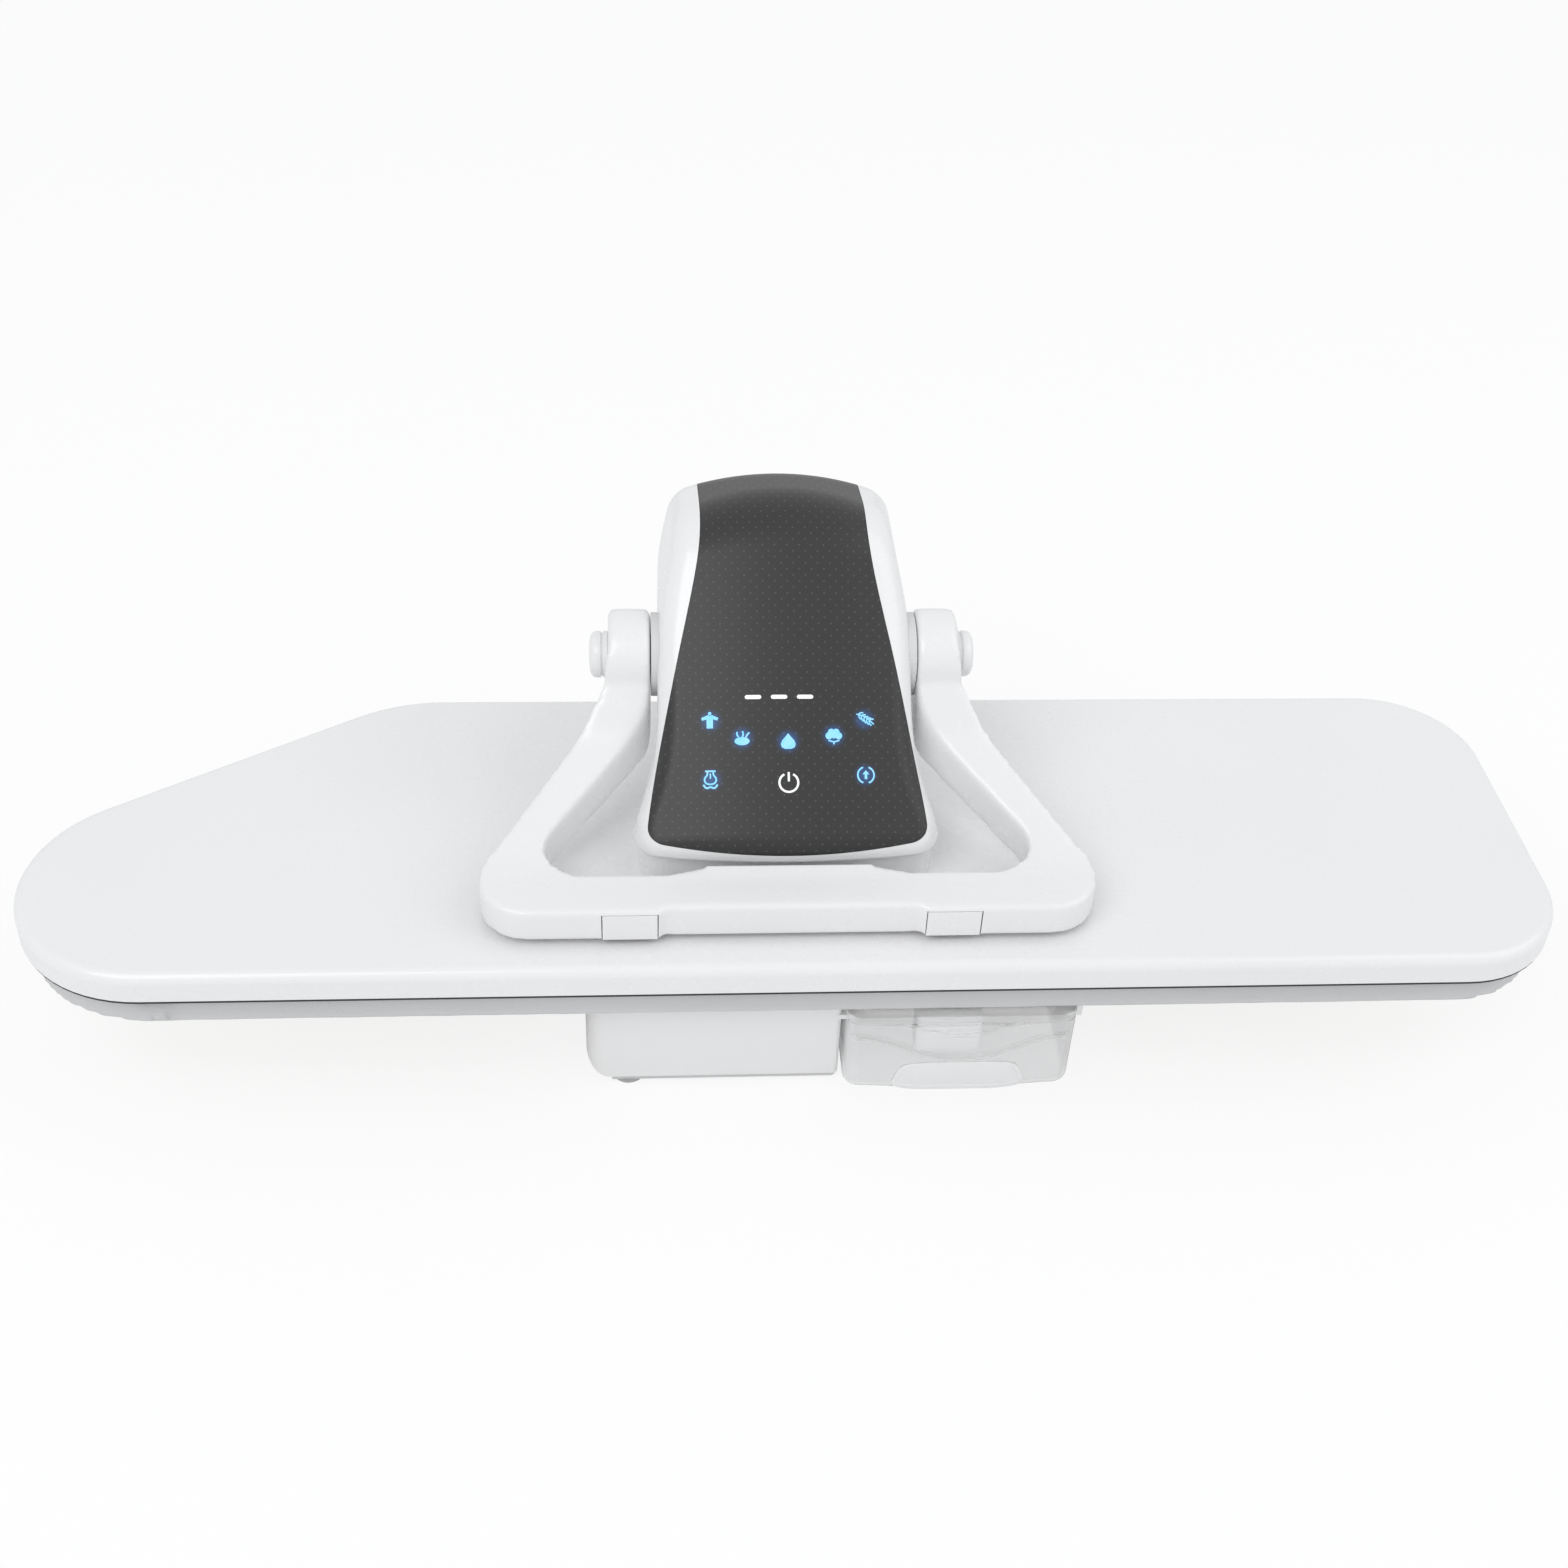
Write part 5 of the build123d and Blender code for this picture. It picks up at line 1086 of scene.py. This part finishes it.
# %% Signs on the panel
sign_lift = 0.00012
sign_squeeze = 0.25
ray_start = 0.05
white_places = {"power_sign": (0.0, 34.0), "bar_left": (-18.4, 80.0), "bar_middle": (-4.5, 80.0),
                "bar_right": (9.4, 80.0)}
glass_shape = cad_copy("panel_glass")
glass_tree = BVHTree.FromBMesh(glass_shape)
glass_shape.free()


def place_sign(name, drawing, u, v, finish):
    """Lay a flat drawing on the glass about a point of the panel, given in mm."""
    shape = bmesh.new()
    drawing(shape)
    for vertex in shape.verts:
        high = vertex.co.z / 1000 * sign_squeeze
        start = slope_point(u + vertex.co.x, v + vertex.co.y) + slope_out * ray_start
        hit = glass_tree.ray_cast(start, -slope_out)[0]
        vertex.co = hit + slope_out * (sign_lift + high)
    new_piece(name, shape, finish, "head", 60)


for drawing in blue_drawings:
    place_sign(drawing.__name__, drawing, *blue_places[drawing.__name__], "sign_blue")
for name, place in white_places.items():
    place_sign(name, power_sign if name == "power_sign" else bar_sign, *place, "sign_white")
print("signs", len(blue_places) + len(white_places))

# %% [markdown]
# The water tank is a clear moulded drawer. Its front swells a little and carries two wavy beads that
# dip in the middle, with the wall set back above the lower one. The relief is described first, as
# how far the front stands forward at each place.

# %% Relief of the tank's front
front_swell = 0.0022
swell_span = (0.25, 0.95)
lower_line = (0.041, 0.0145, 0.05, 0.85)
upper_line = (0.054, 0.010, 0.0, 0.7)
lower_bead = 0.0011
upper_bead = 0.0010
shelf_depth = 0.0012
shelf_ramp = 0.001
fade_span = (0.90, 0.97)


def soft_step(value, low, high):
    """0 below low, 1 above high, and smooth between."""
    share = max(0.0, min(1.0, (value - low) / (high - low)))
    return share * share * (3 - 2 * share)


def front_bow(across):
    """How far the front swells, from its middle at 0 to its corner at 1."""
    return front_swell * (1 - soft_step(across, *swell_span))


def wavy_line(across, side, dip, start, end):
    """The height of a line that dips in the middle and is level at the sides."""
    return side - dip * (1 - soft_step(across, start, end))


def bead(away, width):
    """A round bead, as high as it is wide, at a distance from its middle."""
    return width * math.exp(-(away / width) ** 2)


def front_relief(x, z, middle, half):
    """How far the tank's front stands forward at one place."""
    across = abs(x - middle) / half
    lower = wavy_line(across, *lower_line)
    upper = wavy_line(across, *upper_line)
    beads = bead(z - lower, lower_bead) + bead(z - upper, upper_bead)
    shelf = -shelf_depth * soft_step(z, lower - shelf_ramp, lower + shelf_ramp)
    return front_bow(across) + (beads + shelf) * (1 - soft_step(across, *fade_span))


print("tank front swells", front_swell * 1000, "mm")

# %% [markdown]
# The tank itself is a bevelled box without a lid. It is cut into fine strips with planes, so that its
# front can be pushed into the relief, and the open box gets a real wall thickness at the end.

# %% Clear tank
tank_wall = 0.0018
tank_top = 0.0509
tank_corner = 0.009
tank_foot = 0.004
tank_clearance = 0.0002
relief_room = 0.0035
relief_near = 0.004
relief_far = 0.016
upright_strips = 84
level_strips = 56


def clear_tank():
    """The clear drawer with its moulded front."""
    low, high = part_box("tank_body")
    low = low + Vector((tank_clearance, relief_room, 0))
    size = Vector((high.x - low.x, high.y - low.y, tank_top - low.z))
    shape = bmesh.new()
    block(shape, low + size / 2, size)
    upright = [edge for edge in shape.edges if abs(edge.verts[0].co.z - edge.verts[1].co.z) > 0.01]
    rounded(shape, upright, tank_corner, 6)
    lid = [face for face in shape.faces if face.normal.z > 0.99]
    bmesh.ops.delete(shape, geom=lid, context="FACES_ONLY")
    foot = [edge for edge in shape.edges if len(edge.link_faces) == 2
            and all(vertex.co.z < low.z + level_tolerance for vertex in edge.verts)]
    rounded(shape, foot, tank_foot, 4)
    for step in range(1, upright_strips):
        cut_across(shape, 0, low.x + (high.x - low.x) * step / upright_strips)
    for step in range(1, level_strips):
        cut_across(shape, 2, low.z + (tank_top - low.z) * step / level_strips)
    middle = (low.x + high.x) / 2
    half = (high.x - low.x) / 2
    for vertex in shape.verts:
        near = 1 - soft_step(vertex.co.y, low.y + relief_near, low.y + relief_far)
        vertex.co.y -= near * front_relief(vertex.co.x, vertex.co.z, middle, half)
    piece = new_piece("clear_tank", shape, "tank_clear", "tank", 50)
    wall = piece.modifiers.new("wall", "SOLIDIFY")
    wall.thickness = tank_wall
    wall.offset = -1
    settled(piece)
    dressed(piece.data, "tank_clear", 50)
    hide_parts("tank_body")
    print("clear tank", len(piece.data.polygons), "faces")


clear_tank()

# %% [markdown]
# A frosted pad for the fingers stands on the tank's front, wide at its foot and narrower at its
# top, with a raised rim. A circle is squared into that outline, and two insets make the rim's
# step. It is cut into strips before it is bent, so that it follows the front's swell.

# %% Finger pad
finger_half_foot = 0.0385
finger_half_top = 0.0315
finger_low = 0.0045
finger_high = 0.0255
finger_root = 0.0003
finger_thick = 0.0013
finger_rim = 0.0022
finger_step = 0.0006
finger_corners = 80
finger_strips = 26
squareness = 0.42


def squared(value):
    """Push a circle's coordinate outwards, towards a square."""
    return math.copysign(abs(value) ** squareness, value)


def finger_pad():
    """The frosted pad with its raised rim, bent along the tank's front."""
    low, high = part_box("tank_body")
    front = low.y + relief_room
    middle = (low.x + high.x) / 2
    half = (high.x - low.x) / 2
    shape = bmesh.new()
    ring = bmesh.ops.create_circle(shape, cap_ends=True, segments=finger_corners, radius=1)
    for vertex in ring["verts"]:
        upward = (squared(vertex.co.y) + 1) / 2
        reach = finger_half_foot + (finger_half_top - finger_half_foot) * upward
        height = finger_low + (finger_high - finger_low) * upward
        vertex.co = (squared(vertex.co.x) * reach, finger_root, height)
    face = raised(shape, shape.faces[:], (0, -finger_thick, 0))
    bmesh.ops.recalc_face_normals(shape, faces=shape.faces)
    bmesh.ops.inset_region(shape, faces=face, thickness=finger_rim, use_even_offset=True)
    bmesh.ops.inset_region(shape, faces=face, thickness=finger_step, depth=-finger_step,
                           use_even_offset=True)
    for step in range(1, finger_strips):
        cut_across(shape, 0, finger_half_foot * (2 * step / finger_strips - 1))
    for vertex in shape.verts:
        vertex.co.y += front - front_bow(abs(vertex.co.x) / half)
        vertex.co.x += middle
    piece = new_piece("finger_pad", shape, "tank_frosted", "tank", 30)
    print("finger pad", len(piece.data.polygons), "faces")


finger_pad()

# %% [markdown]
# A soft white cartridge behind the clear front takes the lime out of the water. It is seen only
# through the tank, so a bevelled block with three grooves is enough.

# %% Filter cartridge
filter_middle = (0.0827, -0.116, 0.0315)
filter_size = (0.0365, 0.016, 0.029)
filter_edge = 0.0025
groove_heights = (0.028, 0.034, 0.040)
groove_width = 0.0012
groove_depth = 0.0008
groove_slope = 0.0002


def filter_cartridge():
    """A white block that stands in the tank behind its front."""
    shape = bmesh.new()
    block(shape, filter_middle, filter_size)
    rounded(shape, shape.edges[:], filter_edge, 3)
    for height in groove_heights:
        cut_across(shape, 2, height)
        cut_across(shape, 2, height + groove_width)
        band = [face for face in shape.faces if abs(face.normal.z) < 0.3
                and height < face.calc_center_median().z < height + groove_width]
        bmesh.ops.inset_region(shape, faces=band, thickness=groove_slope, depth=-groove_depth)
    piece = new_piece("filter_cartridge", shape, "pedestal_white", "tank", 30)
    print("filter cartridge", len(piece.data.polygons), "faces")


filter_cartridge()
